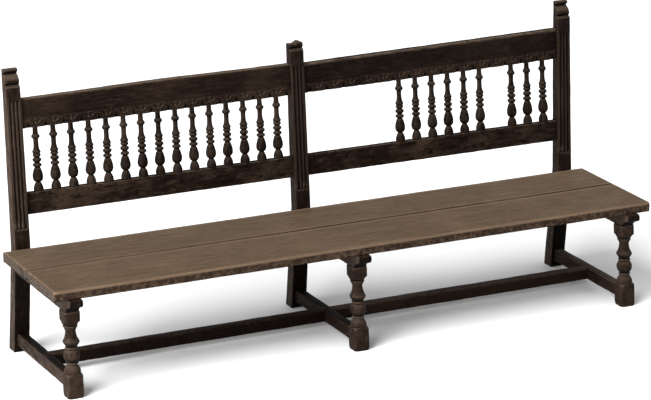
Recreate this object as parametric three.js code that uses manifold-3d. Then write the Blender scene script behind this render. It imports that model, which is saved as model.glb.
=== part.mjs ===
// Turned-baluster church bench: three joined end and middle frames, a two-board seat,
// and an open back of two bays between raked posts. Millimetres, +Z up, +X to the right,
// the front faces -Y, and the origin is the middle of the footprint on the floor.
import * as THREE from 'three';
import { mergeVertices } from 'three/addons/utils/BufferGeometryUtils.js';
import Module from 'manifold-3d';

const wasm = await Module();
wasm.setup();

// ---- Driving dimensions -------------------------------------------------------------

const gap = 0.3; // clearance between any two pieces

const seatHeight = 440;
const seatThickness = 40;
const seatDepth = 549; // front edge to the front plane of the rear posts
const frontBoardDepth = 292;
const boardSeam = 1.6; // open joint between the two seat boards
const seatOverhang = 52; // seat end beyond the outer face of an end post
const seatNoseRadius = 9; // worn front arris of the seat

const frameSpacing = 1217; // centre lines of the end frames, either side of the origin
const middleFrameShift = -5; // the middle frame was set a little to the left
const rightPostLean = 14; // the right post has racked outwards by this much at its top
const leftPostDrop = 9; // how much shorter the left post is
const middlePostDrop = 2;

const postHeight = 1158; // the right post; the others are worn or were cut shorter
const postWidth = 65.4;
const postTopWidth = 60;
const postDepthAtSeat = 51.2;
const postDepthAtTop = 39.4;
const postFootDepth = 59.6;
const postFootSetback = 47.7; // how far the front of the foot stands behind the seat line
const backRake = Math.atan(0.0881); // slope of the back above the seat
const breakDrop = 36; // the middle post lost its upper roll: how far below the post height
const lowBreakDrop = 41;

const fluteWidth = 8;
const fluteDepth = 3;
const fluteCount = 3;
const fluteBottom = 74; // above the seat, measured along the rake
const fluteDrop = 133.8; // below the top of the posts

const railSetback = 13; // front face of a back rail behind the front face of the posts
const railThickness = 28;
const lowerRailBottom = 130.5; // above the seat, measured along the rake
const lowerRailHeight = 87;
const crestRailDrop = 244.3; // its lower edge below the top of the posts
const crestRailHeight = 115;
const railArris = 6; // worn top front edge
const railTenonLength = 26;
const railTenonThickness = 12;
const railTenonShoulder = 14; // top and bottom shoulders

const spindleCount = 15; // positions in a bay
const spindleTenonRadius = 7.5;
const spindleTenonLength = 12;
const mortiseSpare = 2; // a blind mortise is this much deeper than its tenon

const legBlock = 64; // side of the square blocks of a front leg
const legBlockChamfer = 5;
const legTopSetback = 63.3; // leg centre line behind the seat front, at the bearer
const legFootSetback = 38.8; // the same at the floor: the legs splay forwards
const footBlockHeight = 94;
const headBlockHeight = 36;
const legTenon = 28; // square top tenon
const legTenonLength = 30;

const bearerWidth = 57;
const bearerHeight = 60;
const bearerNose = 10; // how far the carved nose stands proud of the seat
const bearerTenonWidth = 18;
const bearerTenonHeight = 36;
const bearerTenonLength = 28;

const stretcherBottom = 29;
const stretcherHeight = 50;
const sideStretcherWidth = 39;
const longStretcherWidth = 38;
const stretcherTenonWidth = 14;
const stretcherTenonHeight = 30;
const sideStretcherTenonLength = 26;
const longStretcherTenonLength = 14;
const stretcherArris = 8;

const seatPegRadius = 6.5;
const seatPegDepth = 64;
const seatPegSetbacks = [150, 450]; // behind the seat front, one for each board
const railPinRadius = 4;
const railPinEdge = 11; // pin centre from the side face of its post
const railPinExit = 8; // the bore runs on through the back face
const footNailRadius = 3;
const footNailLength = 0.75 * legBlock; // through the block and into the stretcher tenon
const footNailHeight = 52;
const footNailDepth = 1.5; // the head is driven below the surface
const boreExit = 3; // a bore runs this far past the surface that its peg or nail enters

const legSides = 16;
const spindleSides = 8;
const pegSides = 8;

// Bays of the back: the clear margins beside the first and last spindle, and the
// positions, counted from the left, whose spindles are lost. The crest rail of a bay
// rises by crestRise towards its right end.
const bays = [
  { name: 'left', margins: [56.7, 56.7], lost: [], crestRise: 0 },
  { name: 'right', margins: [58.1, 49.9], lost: [1, 2, 3, 4, 5, 12], crestRise: 11 },
];

// ---- Places worked out from the driving dimensions ----------------------------------

const rakeSlope = Math.tan(backRake);
const seatUnderside = seatHeight - seatThickness;
const bearerBottom = seatUnderside - bearerHeight;
const stretcherTop = stretcherBottom + stretcherHeight;
const topSetback = rakeSlope * (postHeight - seatHeight) + postDepthAtTop;
const backReach = Math.max(postFootSetback + postFootDepth, topSetback);
const seatFront = -(seatDepth + backReach - bearerNose) / 2;
const seatBack = seatFront + seatDepth;
const frames = [
  { name: 'left', x: -frameSpacing, top: postHeight - leftPostDrop, lean: 0 },
  { name: 'middle', x: middleFrameShift, top: postHeight - middlePostDrop, lean: 0 },
  { name: 'right', x: frameSpacing, top: postHeight, lean: rightPostLean },
];

const mix = THREE.MathUtils.lerp;
const fractionAboveSeat = (z) => Math.max(0, (z - seatHeight) / (postHeight - seatHeight));
const fractionBelowSeat = (z) => Math.max(0, (seatHeight - z) / seatHeight);
const postHalfWidth = (z) => mix(postWidth, postTopWidth, fractionAboveSeat(z)) / 2;
const postX = (frame, z) => frame.x + frame.lean * fractionAboveSeat(z);

function postFront(z) {
  return seatBack + rakeSlope * Math.max(0, z - seatHeight) + postFootSetback * fractionBelowSeat(z);
}

function postBack(z) {
  const above = mix(postDepthAtSeat, postDepthAtTop, fractionAboveSeat(z));
  return postFront(z) + mix(above, postFootDepth, fractionBelowSeat(z));
}

// The leg axis leans: its place at any height.
const legAxis = (z) => seatFront + mix(legFootSetback, legTopSetback, z / bearerBottom);
const legLean = Math.atan((legTopSetback - legFootSetback) / bearerBottom);
const legHalfDepth = legBlock / 2 / Math.cos(legLean);
const legBack = (z) => legAxis(z) + legHalfDepth;
const legFront = (z) => legAxis(z) - legHalfDepth;

// The back is laid out in a frame that leans with the posts: its origin is on the front
// plane of the posts at seat height, and z runs along the rake.
const backFrame = new THREE.Matrix4()
  .makeTranslation(0, seatBack, seatHeight)
  .multiply(new THREE.Matrix4().makeRotationX(-backRake));
const heightOnRake = (z) => seatHeight + z * Math.cos(backRake);
const postRun = (postHeight - seatHeight) / Math.cos(backRake);
const fluteTop = postRun - fluteDrop;
const crestRailBottom = postRun - crestRailDrop;
const brokenPostHeight = postHeight - breakDrop;
const brokenPostLowHeight = postHeight - lowBreakDrop;
const headBlockBottom = bearerBottom - headBlockHeight;

// ---- Materials ----------------------------------------------------------------------

const backWood = () => new THREE.MeshStandardMaterial({ color: 0x2b2320, roughness: 0.62, metalness: 0 });
const seatWood = () => new THREE.MeshStandardMaterial({ color: 0x6b5d4e, roughness: 0.6, metalness: 0 });
const legWood = () => new THREE.MeshStandardMaterial({ color: 0x463a32, roughness: 0.6, metalness: 0 });
const pegWood = () => new THREE.MeshStandardMaterial({ color: 0x3a2c22, roughness: 0.7, metalness: 0 });
const iron = () => new THREE.MeshStandardMaterial({ color: 0x1d1714, roughness: 0.8, metalness: 0.7 });

// ---- Solids -------------------------------------------------------------------------

function solid(geometry) {
  const bare = geometry.clone();
  bare.deleteAttribute('normal');
  bare.deleteAttribute('uv');
  const merged = mergeVertices(bare, 1e-4);
  const corners = Array.from(merged.index.array);
  const triangles = [];
  for (let i = 0; i < corners.length; i += 3) {
    const [a, b, c] = corners.slice(i, i + 3);
    if (a !== b && b !== c && c !== a) triangles.push(a, b, c);
  }
  const vertProperties = new Float32Array(merged.attributes.position.array);
  const triVerts = new Uint32Array(triangles);
  return new wasm.Manifold(new wasm.Mesh({ numProp: 3, vertProperties, triVerts }));
}

function geometryOf(body) {
  const { vertProperties, triVerts } = body.getMesh();
  const geometry = new THREE.BufferGeometry();
  geometry.setAttribute('position', new THREE.BufferAttribute(vertProperties, 3));
  geometry.setIndex(new THREE.BufferAttribute(triVerts, 1));
  geometry.computeVertexNormals();
  return geometry;
}

// A box between two corners.
function block(low, high) {
  const size = high.map((value, axis) => value - low[axis]);
  const centre = high.map((value, axis) => (value + low[axis]) / 2);
  return new THREE.BoxGeometry(...size).translate(...centre);
}

// The same box grown by the clearance on every side.
const clearBlock = (low, high) => block(low.map((v) => v - gap), high.map((v) => v + gap));

// A side outline in the YZ plane, drawn out along X to a width centred on x.
function sideProfile(shape, x, width) {
  const axes = new THREE.Matrix4().makeBasis(
    new THREE.Vector3(0, 1, 0),
    new THREE.Vector3(0, 0, 1),
    new THREE.Vector3(1, 0, 0),
  );
  const settings = { depth: width, bevelEnabled: false, curveSegments: 4 };
  return new THREE.ExtrudeGeometry(shape, settings).applyMatrix4(axes).translate(x - width / 2, 0, 0);
}

const outline = (points) => new THREE.Shape(points.map(([y, z]) => new THREE.Vector2(y, z)));

// A turned piece standing on z = 0, from [height, radius] pairs.
function turned(profile, sides) {
  const [first, last] = [profile[0][0], profile[profile.length - 1][0]];
  const points = [[first, 0], ...profile, [last, 0]].map(([z, r]) => new THREE.Vector2(r, z));
  return new THREE.LatheGeometry(points, sides).rotateX(Math.PI / 2);
}

const peg = (radius, length, sides) => turned([[0, radius], [length, radius]], sides);

// ---- Rear posts ---------------------------------------------------------------------

// Setback and drop are measured from the front plane and the top of the post.
function postOutline(top) {
  const at = (setback, drop) => [postFront(top - drop) + setback, top - drop];
  const shape = outline([[postFront(0), 0], [postBack(0), 0], [postBack(seatHeight), seatHeight]]);
  shape.lineTo(postBack(top), top);
  shape.lineTo(...at(22, 0));
  shape.quadraticCurveTo(...at(15, 6), ...at(20, 13)); // top roll
  shape.lineTo(...at(25, 17));
  shape.lineTo(...at(24.5, 24));
  shape.quadraticCurveTo(...at(6, 30), ...at(1, 57)); // lower roll
  shape.lineTo(...at(6, 61));
  shape.lineTo(...at(4.5, 67));
  shape.lineTo(...at(0, 69));
  shape.lineTo(postFront(seatHeight), seatHeight);
  return shape;
}

// Narrows a post drawn on x = 0 towards its top, and moves it to its frame.
function taperedPost(frame) {
  const geometry = sideProfile(postOutline(frame.top), 0, postWidth);
  const corners = geometry.attributes.position;
  for (let i = 0; i < corners.count; i += 1) {
    const z = corners.getZ(i);
    corners.setX(i, postX(frame, z) + corners.getX(i) * postHalfWidth(z) / (postWidth / 2));
  }
  return geometry;
}

// A round-bottomed groove down the front face, at a fraction of the post's width.
function flute(frame, fraction) {
  const radius = ((fluteWidth * fluteWidth) / 4 + fluteDepth * fluteDepth) / (2 * fluteDepth);
  const length = fluteTop - fluteBottom - 2 * radius;
  const middle = (fluteTop + fluteBottom) / 2;
  const z = heightOnRake(middle);
  const lean = Math.atan(frame.lean / (postHeight - seatHeight));
  return new THREE.CapsuleGeometry(radius, length, 2, 8, 1)
    .rotateX(Math.PI / 2)
    .rotateY(lean)
    .translate(postX(frame, z) + fraction * 2 * postHalfWidth(z), fluteDepth - radius, middle)
    .applyMatrix4(backFrame);
}

// The tenon of a back rail, in the raked frame; side is +1 at the rail's right end.
function railTenonCorners(shoulderX, side, bottom, height) {
  const y = railSetback + (railThickness - railTenonThickness) / 2;
  const ends = [shoulderX - side, shoulderX + side * railTenonLength].sort((a, b) => a - b);
  return [
    [ends[0], y, bottom + railTenonShoulder],
    [ends[1], y + railTenonThickness, bottom + height - railTenonShoulder],
  ];
}

const rails = [
  { name: 'lower', bottom: lowerRailBottom, height: lowerRailHeight },
  { name: 'crest', bottom: crestRailBottom, height: crestRailHeight },
];

// The lower edge of a rail at one end of its bay.
function railEnd(rail, bay, side) {
  const rise = rail.name === 'crest' && side > 0 ? bay.crestRise : 0;
  return { ...rail, bottom: rail.bottom + rise };
}

// Where a rail's shoulder meets the side face of a post, clear of it at both edges.
function railShoulder(frame, side, rail) {
  const heights = [rail.bottom, rail.bottom + rail.height].map(heightOnRake);
  const faces = heights.map((z) => postX(frame, z) - side * (postHalfWidth(z) + gap));
  return side > 0 ? Math.min(...faces) : Math.max(...faces);
}

// The two rail ends that meet a post: side is the direction in which the tenon points.
function railEnds(frameIndex) {
  const ends = [];
  if (frameIndex > 0) ends.push({ bay: bays[frameIndex - 1], side: 1 });
  if (frameIndex < frames.length - 1) ends.push({ bay: bays[frameIndex], side: -1 });
  return ends;
}

// A draw pin is driven from the back of the post through the tenon, in the raked frame.
function railPinPlace(frame, side, rail) {
  const middle = rail.bottom + rail.height / 2;
  const z = heightOnRake(middle);
  const x = postX(frame, z) - side * (postHalfWidth(z) - railPinEdge);
  return { x, from: railSetback - 2, to: postBack(z) - postFront(z) - 1, z: middle };
}

function railPin(frame, side, rail, clearance) {
  const place = railPinPlace(frame, side, rail);
  const length = place.to - place.from + clearance + (clearance > 0 ? railPinExit : 0);
  return peg(railPinRadius + clearance, length, pegSides)
    .rotateX(-Math.PI / 2)
    .translate(place.x, place.from - clearance, place.z);
}

const bearerTenonCorners = (x) => {
  const middle = (seatUnderside + bearerBottom) / 2;
  return [
    [x - bearerTenonWidth / 2, postFront(seatUnderside) - 1, middle - bearerTenonHeight / 2],
    [x + bearerTenonWidth / 2, postFront(middle) + bearerTenonLength, middle + bearerTenonHeight / 2],
  ];
};

const stretcherTenonCorners = (x, from, to) => {
  const middle = (stretcherBottom + stretcherTop) / 2;
  return [
    [x - stretcherTenonWidth / 2, from, middle - stretcherTenonHeight / 2],
    [x + stretcherTenonWidth / 2, to, middle + stretcherTenonHeight / 2],
  ];
};

const rearTenon = (x) => {
  const face = postFront((stretcherBottom + stretcherTop) / 2);
  return stretcherTenonCorners(x, face - 8, face + sideStretcherTenonLength);
};
const frontTenon = (x) => {
  const face = legBack((stretcherBottom + stretcherTop) / 2);
  return stretcherTenonCorners(x, face - sideStretcherTenonLength, face + 8);
};

function rearPost(frame, frameIndex) {
  let body = solid(taperedPost(frame));
  for (let i = 1; i <= fluteCount; i += 1) {
    body = body.subtract(solid(flute(frame, i / (fluteCount + 1) - 0.5)));
  }
  for (const { bay, side } of railEnds(frameIndex)) {
    for (const rail of rails) {
      const end = railEnd(rail, bay, side);
      const tenon = railTenonCorners(railShoulder(frame, side, end), side, end.bottom, end.height);
      body = body.subtract(solid(clearBlock(...tenon).applyMatrix4(backFrame)));
      body = body.subtract(solid(railPin(frame, side, end, gap).applyMatrix4(backFrame)));
    }
  }
  body = body.subtract(solid(clearBlock(...bearerTenonCorners(frame.x))));
  body = body.subtract(solid(clearBlock(...rearTenon(frame.x))));
  if (frame.name === 'middle') body = body.subtract(brokenAway(frame.x));
  return geometryOf(body);
}

// The lost upper roll of the middle post: two rough, tilted breaks side by side.
function brokenAway(x) {
  const reach = postHeight;
  const high = new THREE.BoxGeometry(reach, reach, reach)
    .translate(0, 0, reach / 2)
    .rotateX(0.12)
    .rotateY(0.05)
    .translate(x + 6, postFront(brokenPostHeight) + 20, brokenPostHeight);
  const low = new THREE.BoxGeometry(reach, reach, reach)
    .translate(-reach / 2, 0, reach / 2)
    .rotateX(-0.1)
    .rotateY(0.06)
    .translate(x - 2, postFront(brokenPostLowHeight) + 20, brokenPostLowHeight);
  return solid(high).add(solid(low));
}

// ---- Front legs ---------------------------------------------------------------------

// The turning between the square blocks: [share of the way up, radius].
const legTurning = [
  [-0.1, 31.5],
  [0.014, 31.5],
  [0.038, 32.5],
  [0.076, 31],
  [0.164, 19.5],
  [0.176, 23],
  [0.195, 23],
  [0.212, 20.5],
  [0.238, 25.3],
  [0.281, 30.5],
  [0.329, 32.4],
  [0.376, 30.6],
  [0.443, 23.9],
  [0.467, 22.6],
  [0.524, 23.9],
  [0.557, 28.6],
  [0.595, 32.7],
  [0.657, 25],
  [0.69, 24.5],
  [0.71, 20.3],
  [0.829, 20.3],
  [0.843, 23.9],
  [0.871, 23.9],
  [0.91, 29],
  [0.962, 32.2],
  [1.076, 32.2],
].map(([share, radius]) => [mix(footBlockHeight, headBlockBottom, share), radius]);

// A square block with chamfered corners, and its ends rounded over by the lathe.
function legSquare(bottom, top, roundBottom, roundTop) {
  const half = legBlock / 2;
  const cut = half - legBlockChamfer;
  const corners = [[half, -cut], [half, cut], [cut, half], [-cut, half]];
  const opposite = corners.map(([x, y]) => [-x, -y]);
  const square = solid(
    new THREE.ExtrudeGeometry(outline([...corners, ...opposite]), {
      depth: top - bottom,
      bevelEnabled: false,
    }).translate(0, 0, bottom),
  );
  const corner = Math.hypot(half, cut);
  const round = [[bottom, half + 1], [bottom + 12, corner + 1], [top - 12, corner + 1], [top, half + 1]];
  if (!roundBottom) round.splice(0, 1, [bottom, corner + 1]);
  if (!roundTop) round.splice(round.length - 1, 1, [top, corner + 1]);
  return square.intersect(solid(turned(round, legSides)));
}

const legTenonCorners = (x) => {
  const y = legAxis(bearerBottom);
  return [
    [x - legTenon / 2, y - legTenon / 2, bearerBottom - 2],
    [x + legTenon / 2, y + legTenon / 2, bearerBottom + legTenonLength],
  ];
};

function footNail(x, clearance) {
  const exit = clearance > 0 ? footNailDepth + boreExit : 0;
  const front = legFront(footNailHeight) + footNailDepth - exit;
  return peg(footNailRadius + clearance, footNailLength + exit + clearance, pegSides)
    .rotateX(-Math.PI / 2)
    .translate(x, front, footNailHeight);
}

const hasFootNail = (frame) => frame.name !== 'right';

function frontLeg(frame) {
  const spare = 20;
  const foot = legSquare(-spare, footBlockHeight, false, true);
  const head = legSquare(headBlockBottom, bearerBottom + spare, true, false);
  const upright = solid(turned(legTurning, legSides)).add(foot).add(head);
  const lean = new THREE.Matrix4()
    .makeTranslation(frame.x, legAxis(0), 0)
    .multiply(new THREE.Matrix4().makeRotationX(-legLean));
  const trim = block(
    [frame.x - legBlock, seatFront - legBlock, 0],
    [frame.x + legBlock, seatFront + 3 * legBlock, bearerBottom - gap],
  );
  let body = solid(geometryOf(upright).applyMatrix4(lean)).intersect(solid(trim));
  body = body.add(solid(block(...legTenonCorners(frame.x))));
  body = body.subtract(solid(clearBlock(...frontTenon(frame.x))));
  if (hasFootNail(frame)) body = body.subtract(solid(footNail(frame.x, gap)));
  return geometryOf(body);
}

// ---- Bearers ------------------------------------------------------------------------

// Each bearer carries the seat from a carved nose over the leg back to the rear post.
function bearerOutline() {
  const top = seatUnderside - gap;
  const noseFront = seatFront - bearerNose;
  const hollowFront = legFront(bearerBottom) + 1;
  const shape = outline([[postFront(top) - gap, top], [postFront(bearerBottom) - gap, bearerBottom]]);
  shape.lineTo(hollowFront, bearerBottom);
  shape.quadraticCurveTo(hollowFront - 3, bearerBottom + 20, hollowFront - 22, bearerBottom + 26);
  shape.lineTo(noseFront + 9, bearerBottom + 30);
  shape.quadraticCurveTo(noseFront, bearerBottom + 34, noseFront, bearerBottom + 46);
  shape.quadraticCurveTo(noseFront, top - 2, noseFront + 6, top);
  return shape;
}

function seatPeg(x, setback, clearance) {
  const exit = clearance > 0 ? boreExit : 0;
  return peg(seatPegRadius + clearance, seatPegDepth + clearance + exit, pegSides)
    .translate(x, seatFront + setback, seatHeight - seatPegDepth - clearance);
}

function bearer(frame) {
  let body = solid(sideProfile(bearerOutline(), frame.x, bearerWidth));
  body = body.add(solid(block(...bearerTenonCorners(frame.x))));
  body = body.subtract(solid(clearBlock(...legTenonCorners(frame.x))));
  for (const setback of seatPegSetbacks) body = body.subtract(solid(seatPeg(frame.x, setback, gap)));
  return geometryOf(body);
}

// ---- Stretchers ---------------------------------------------------------------------

// The long stretchers meet the side stretchers halfway between leg and post.
const longStretcherMiddle = (legBack(stretcherTop) + postFront(stretcherTop)) / 2;

const longTenonCorners = (shoulderX, side) => {
  const middle = (stretcherBottom + stretcherTop) / 2;
  const ends = [shoulderX - side, shoulderX + side * longStretcherTenonLength].sort((a, b) => a - b);
  return [
    [ends[0], longStretcherMiddle - stretcherTenonWidth / 2, middle - stretcherTenonHeight / 2],
    [ends[1], longStretcherMiddle + stretcherTenonWidth / 2, middle + stretcherTenonHeight / 2],
  ];
};

const longShoulder = (frame, side) => frame.x - side * (sideStretcherWidth / 2 + gap);

function sideStretcher(frame, frameIndex) {
  const shape = outline([
    [legBack(stretcherBottom) + gap, stretcherBottom],
    [postFront(stretcherBottom) - gap, stretcherBottom],
    [postFront(stretcherTop) - gap, stretcherTop],
    [legBack(stretcherTop) + gap, stretcherTop],
  ]);
  let body = solid(sideProfile(shape, frame.x, sideStretcherWidth));
  body = body.add(solid(block(...rearTenon(frame.x)))).add(solid(block(...frontTenon(frame.x))));
  for (const { side } of railEnds(frameIndex)) {
    body = body.subtract(solid(clearBlock(...longTenonCorners(longShoulder(frame, side), side))));
  }
  if (hasFootNail(frame)) body = body.subtract(solid(footNail(frame.x, gap)));
  return geometryOf(body);
}

function longStretcher(bayIndex) {
  const left = longShoulder(frames[bayIndex], -1);
  const right = longShoulder(frames[bayIndex + 1], 1);
  const front = longStretcherMiddle - longStretcherWidth / 2;
  const shape = outline([
    [front, stretcherBottom],
    [front + longStretcherWidth, stretcherBottom],
    [front + longStretcherWidth, stretcherTop],
    [front + stretcherArris, stretcherTop],
    [front, stretcherTop - stretcherArris],
  ]);
  return geometryOf(
    solid(sideProfile(shape, (left + right) / 2, right - left))
      .add(solid(block(...longTenonCorners(left, -1))))
      .add(solid(block(...longTenonCorners(right, 1)))),
  );
}

// ---- Seat ---------------------------------------------------------------------------

function seatBoard(front, back, frontRadius, pegSetback) {
  const half = frameSpacing + postWidth / 2 + seatOverhang;
  const shape = outline([[front, seatUnderside], [back, seatUnderside], [back, seatHeight]]);
  shape.lineTo(front + frontRadius, seatHeight);
  if (frontRadius > 0) {
    shape.quadraticCurveTo(front, seatHeight, front, seatHeight - frontRadius);
  }
  let body = solid(sideProfile(shape, 0, 2 * half));
  for (const frame of frames) body = body.subtract(solid(seatPeg(frame.x, pegSetback, gap)));
  return geometryOf(body);
}

// ---- Back rails and spindles --------------------------------------------------------

const bayEnds = (bayIndex, rail) => [-1, 1].map((side) => railEnd(rail, bays[bayIndex], side));

function spindlePlaces(bayIndex) {
  const [before, after] = bays[bayIndex].margins;
  const first = frames[bayIndex].x + postWidth / 2 + before;
  const last = frames[bayIndex + 1].x - postWidth / 2 - after;
  return Array.from({ length: spindleCount }, (_, i) => mix(first, last, i / (spindleCount - 1)));
}

const spindleY = railSetback + railThickness / 2;
const lowerRailTop = lowerRailBottom + lowerRailHeight;

// How far a bay's crest rail has risen at x.
function crestRiseAt(bayIndex, x) {
  const [from, to] = [frames[bayIndex].x, frames[bayIndex + 1].x];
  return bays[bayIndex].crestRise * (x - from - postWidth / 2) / (to - from - postWidth);
}

function backRail(bayIndex, rail) {
  const [leftEnd, rightEnd] = bayEnds(bayIndex, rail);
  const [leftFrame, rightFrame] = [frames[bayIndex], frames[bayIndex + 1]];
  const left = railShoulder(leftFrame, -1, leftEnd);
  const right = railShoulder(rightFrame, 1, rightEnd);
  const top = rail.bottom + rail.height;
  const shape = outline([
    [railSetback, rail.bottom],
    [railSetback + railThickness, rail.bottom],
    [railSetback + railThickness, top],
    [railSetback + railArris / 2, top],
    [railSetback, top - railArris],
  ]);
  const isCrest = rail.name === 'crest';
  const length = sideProfile(shape, (left + right) / 2, right - left);
  const corners = length.attributes.position;
  for (let i = 0; isCrest && i < corners.count; i += 1) {
    corners.setZ(i, corners.getZ(i) + crestRiseAt(bayIndex, corners.getX(i)));
  }
  let body = solid(length)
    .add(solid(block(...railTenonCorners(left, -1, leftEnd.bottom, rail.height))))
    .add(solid(block(...railTenonCorners(right, 1, rightEnd.bottom, rail.height))));
  body = body.subtract(solid(railPin(leftFrame, -1, leftEnd, gap)));
  body = body.subtract(solid(railPin(rightFrame, 1, rightEnd, gap)));
  const depth = spindleTenonLength + mortiseSpare;
  for (const x of spindlePlaces(bayIndex)) {
    const crestFloor = crestRailBottom + crestRiseAt(bayIndex, x) - mortiseSpare;
    const floor = isCrest ? crestFloor : lowerRailTop - depth;
    const mortise = peg(spindleTenonRadius + gap, depth + mortiseSpare, spindleSides);
    body = body.subtract(solid(mortise.translate(x, spindleY, floor)));
  }
  return geometryOf(body);
}

// The baluster: [height above the lower rail, radius], the heights shares of its length.
function spindle(x, crestRise) {
  const length = crestRailBottom + crestRise - lowerRailTop;
  const profile = [
    [-spindleTenonLength, spindleTenonRadius],
    [gap, spindleTenonRadius],
    [gap, 17.5],
    [0.13 * length, 10.4],
    [0.2 * length, 18.6],
    [0.36 * length, 11.5],
    [0.4 * length, 15.7],
    [0.443 * length, 10],
    [0.484 * length, 15.7],
    [0.52 * length, 10.6],
    [0.576 * length, 14.8],
    [0.68 * length, 8.7],
    [0.782 * length, 8.9],
    [0.838 * length, 13.7],
    [0.94 * length, spindleTenonRadius],
    [length + spindleTenonLength, spindleTenonRadius],
  ];
  return turned(profile, spindleSides).translate(x, spindleY, lowerRailTop);
}

// ---- Assembly -----------------------------------------------------------------------

const bench = new THREE.Group();
const back = new THREE.Group(); // leans with the posts
back.applyMatrix4(backFrame);
bench.add(back);

function place(group, name, geometry, material) {
  const mesh = new THREE.Mesh(geometry, material);
  mesh.name = name;
  group.add(mesh);
}

frames.forEach((frame, i) => {
  place(bench, `rear_post_${frame.name}`, rearPost(frame, i), backWood());
  place(bench, `front_leg_${frame.name}`, frontLeg(frame), legWood());
  place(bench, `bearer_${frame.name}`, bearer(frame), legWood());
  place(bench, `side_stretcher_${frame.name}`, sideStretcher(frame, i), legWood());
  seatPegSetbacks.forEach((setback, board) => {
    const name = `seat_peg_${frame.name}_${board === 0 ? 'front' : 'back'}`;
    place(bench, name, seatPeg(frame.x, setback, 0), pegWood());
  });
  if (hasFootNail(frame)) place(bench, `foot_nail_${frame.name}`, footNail(frame.x, 0), iron());
  for (const { bay, side } of railEnds(i)) {
    for (const rail of rails) {
      const name = `rail_pin_${bay.name}_${rail.name}_${side > 0 ? 'right' : 'left'}`;
      place(back, name, railPin(frame, side, railEnd(rail, bay, side), 0), pegWood());
    }
  }
});

const seam = seatFront + frontBoardDepth;
const [frontPegSetback, backPegSetback] = seatPegSetbacks;
const frontBoard = seatBoard(seatFront, seam, seatNoseRadius, frontPegSetback);
const backBoard = seatBoard(seam + boardSeam, seatBack - gap, 0, backPegSetback);
place(bench, 'seat_board_front', frontBoard, seatWood());
place(bench, 'seat_board_back', backBoard, seatWood());

bays.forEach((bay, i) => {
  place(bench, `long_stretcher_${bay.name}`, longStretcher(i), legWood());
  for (const rail of rails) place(back, `${rail.name}_rail_${bay.name}`, backRail(i, rail), backWood());
  spindlePlaces(i).forEach((x, k) => {
    if (bay.lost.includes(k + 1)) return;
    const name = `spindle_${bay.name}_${String(k + 1).padStart(2, '0')}`;
    place(back, name, spindle(x, crestRiseAt(i, x)), backWood());
  });
});

export default bench;
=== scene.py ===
import math
from collections import namedtuple

import bmesh
import bpy
import numpy as np
from bpy.props import FloatProperty, FloatVectorProperty, IntProperty, PointerProperty
from mathutils import Euler, Matrix, Vector, noise


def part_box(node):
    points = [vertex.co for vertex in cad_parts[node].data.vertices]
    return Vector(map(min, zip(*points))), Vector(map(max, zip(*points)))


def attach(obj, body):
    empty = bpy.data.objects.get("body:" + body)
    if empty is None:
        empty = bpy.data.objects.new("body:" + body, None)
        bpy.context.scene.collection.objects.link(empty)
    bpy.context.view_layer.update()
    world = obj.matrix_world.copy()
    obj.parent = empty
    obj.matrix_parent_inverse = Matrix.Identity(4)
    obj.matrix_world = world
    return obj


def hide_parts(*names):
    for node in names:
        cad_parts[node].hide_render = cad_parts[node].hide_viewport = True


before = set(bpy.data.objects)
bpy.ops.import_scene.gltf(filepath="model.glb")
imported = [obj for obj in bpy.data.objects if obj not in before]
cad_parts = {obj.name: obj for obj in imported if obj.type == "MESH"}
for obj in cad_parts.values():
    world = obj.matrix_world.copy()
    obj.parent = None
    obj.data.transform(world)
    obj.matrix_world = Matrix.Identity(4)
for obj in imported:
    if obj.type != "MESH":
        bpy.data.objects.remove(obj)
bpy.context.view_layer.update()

bl_info = {
    "name": "Turned Church Bench",
    "version": (1, 0, 0),
    "blender": (4, 5, 0),
    "location": "3D View > Sidebar > Bench",
    "description": "Makes the worn oak pieces of an old open-backed church bench around its joined frame",
    "category": "Add Mesh",
}

MM = 0.001
BODY = "root"
SIDES = ("left", "middle", "right")
BAYS = ("left", "right")
NODES = list(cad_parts)


# ---- Places taken from the frame ---------------------------------------------------------


def low(node):
    return Vector(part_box(node)[0])


def high(node):
    return Vector(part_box(node)[1])


SEAT_TOP = high("seat_board_front").z
SEAT_BOTTOM = low("seat_board_front").z
POST_LINE = high("seat_board_back").y + 0.3 * MM  # front plane of the posts at the seat
SEAM = low("seat_board_back").y
BEARER_BOTTOM = low("bearer_left").z
FRAME_X = {side: (low(f"bearer_{side}").x + high(f"bearer_{side}").x) / 2 for side in SIDES}
FRAME_TOP = {side: high(f"rear_post_{side}").z for side in SIDES}
POST_TALLEST = FRAME_TOP["right"]

# The back leans by this slope above the seat; the posts and legs are as the joined frame has them.
RAKE_SLOPE = 0.0881
RAKE = math.atan(RAKE_SLOPE)
BACK = Matrix.Translation((0, POST_LINE, SEAT_TOP)) @ Matrix.Rotation(-RAKE, 4, "X")
POST_WIDTH = 65.4 * MM
POST_TOP_WIDTH = 60 * MM
POST_DEPTH_AT_SEAT = 51.2 * MM
POST_DEPTH_AT_TOP = 39.4 * MM
POST_FOOT_DEPTH = 59.6 * MM
POST_FOOT_SETBACK = 47.7 * MM
RIGHT_LEAN = 14 * MM
LEG_HALF = 32 * MM
LEG_SPLAY = 24.5 * MM
RAIL_FRONT = 13 * MM
RAIL_BACK = 41 * MM
TOP_WORN = 3 * MM  # lost from the top of each post
TORN_FROM = 58 * MM  # below the tallest post, where the middle post's break starts


def raked_box(node):
    """Lowest and highest corner of a node of the back, in the frame that leans with the posts."""
    local = moved(coordinates(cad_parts[node].data), BACK.inverted())
    return local.min(axis=0), local.max(axis=0)


# ---- Mesh helpers ------------------------------------------------------------------------


def vectors(items, name):
    """One value of three numbers for every item, as rows."""
    flat = np.empty(len(items) * 3, dtype=np.float32)
    items.foreach_get(name, flat)
    return flat.reshape(-1, 3).astype(float)


def coordinates(mesh):
    return vectors(mesh.vertices, "co")


def normals(mesh):
    return vectors(mesh.vertex_normals, "vector")


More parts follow.
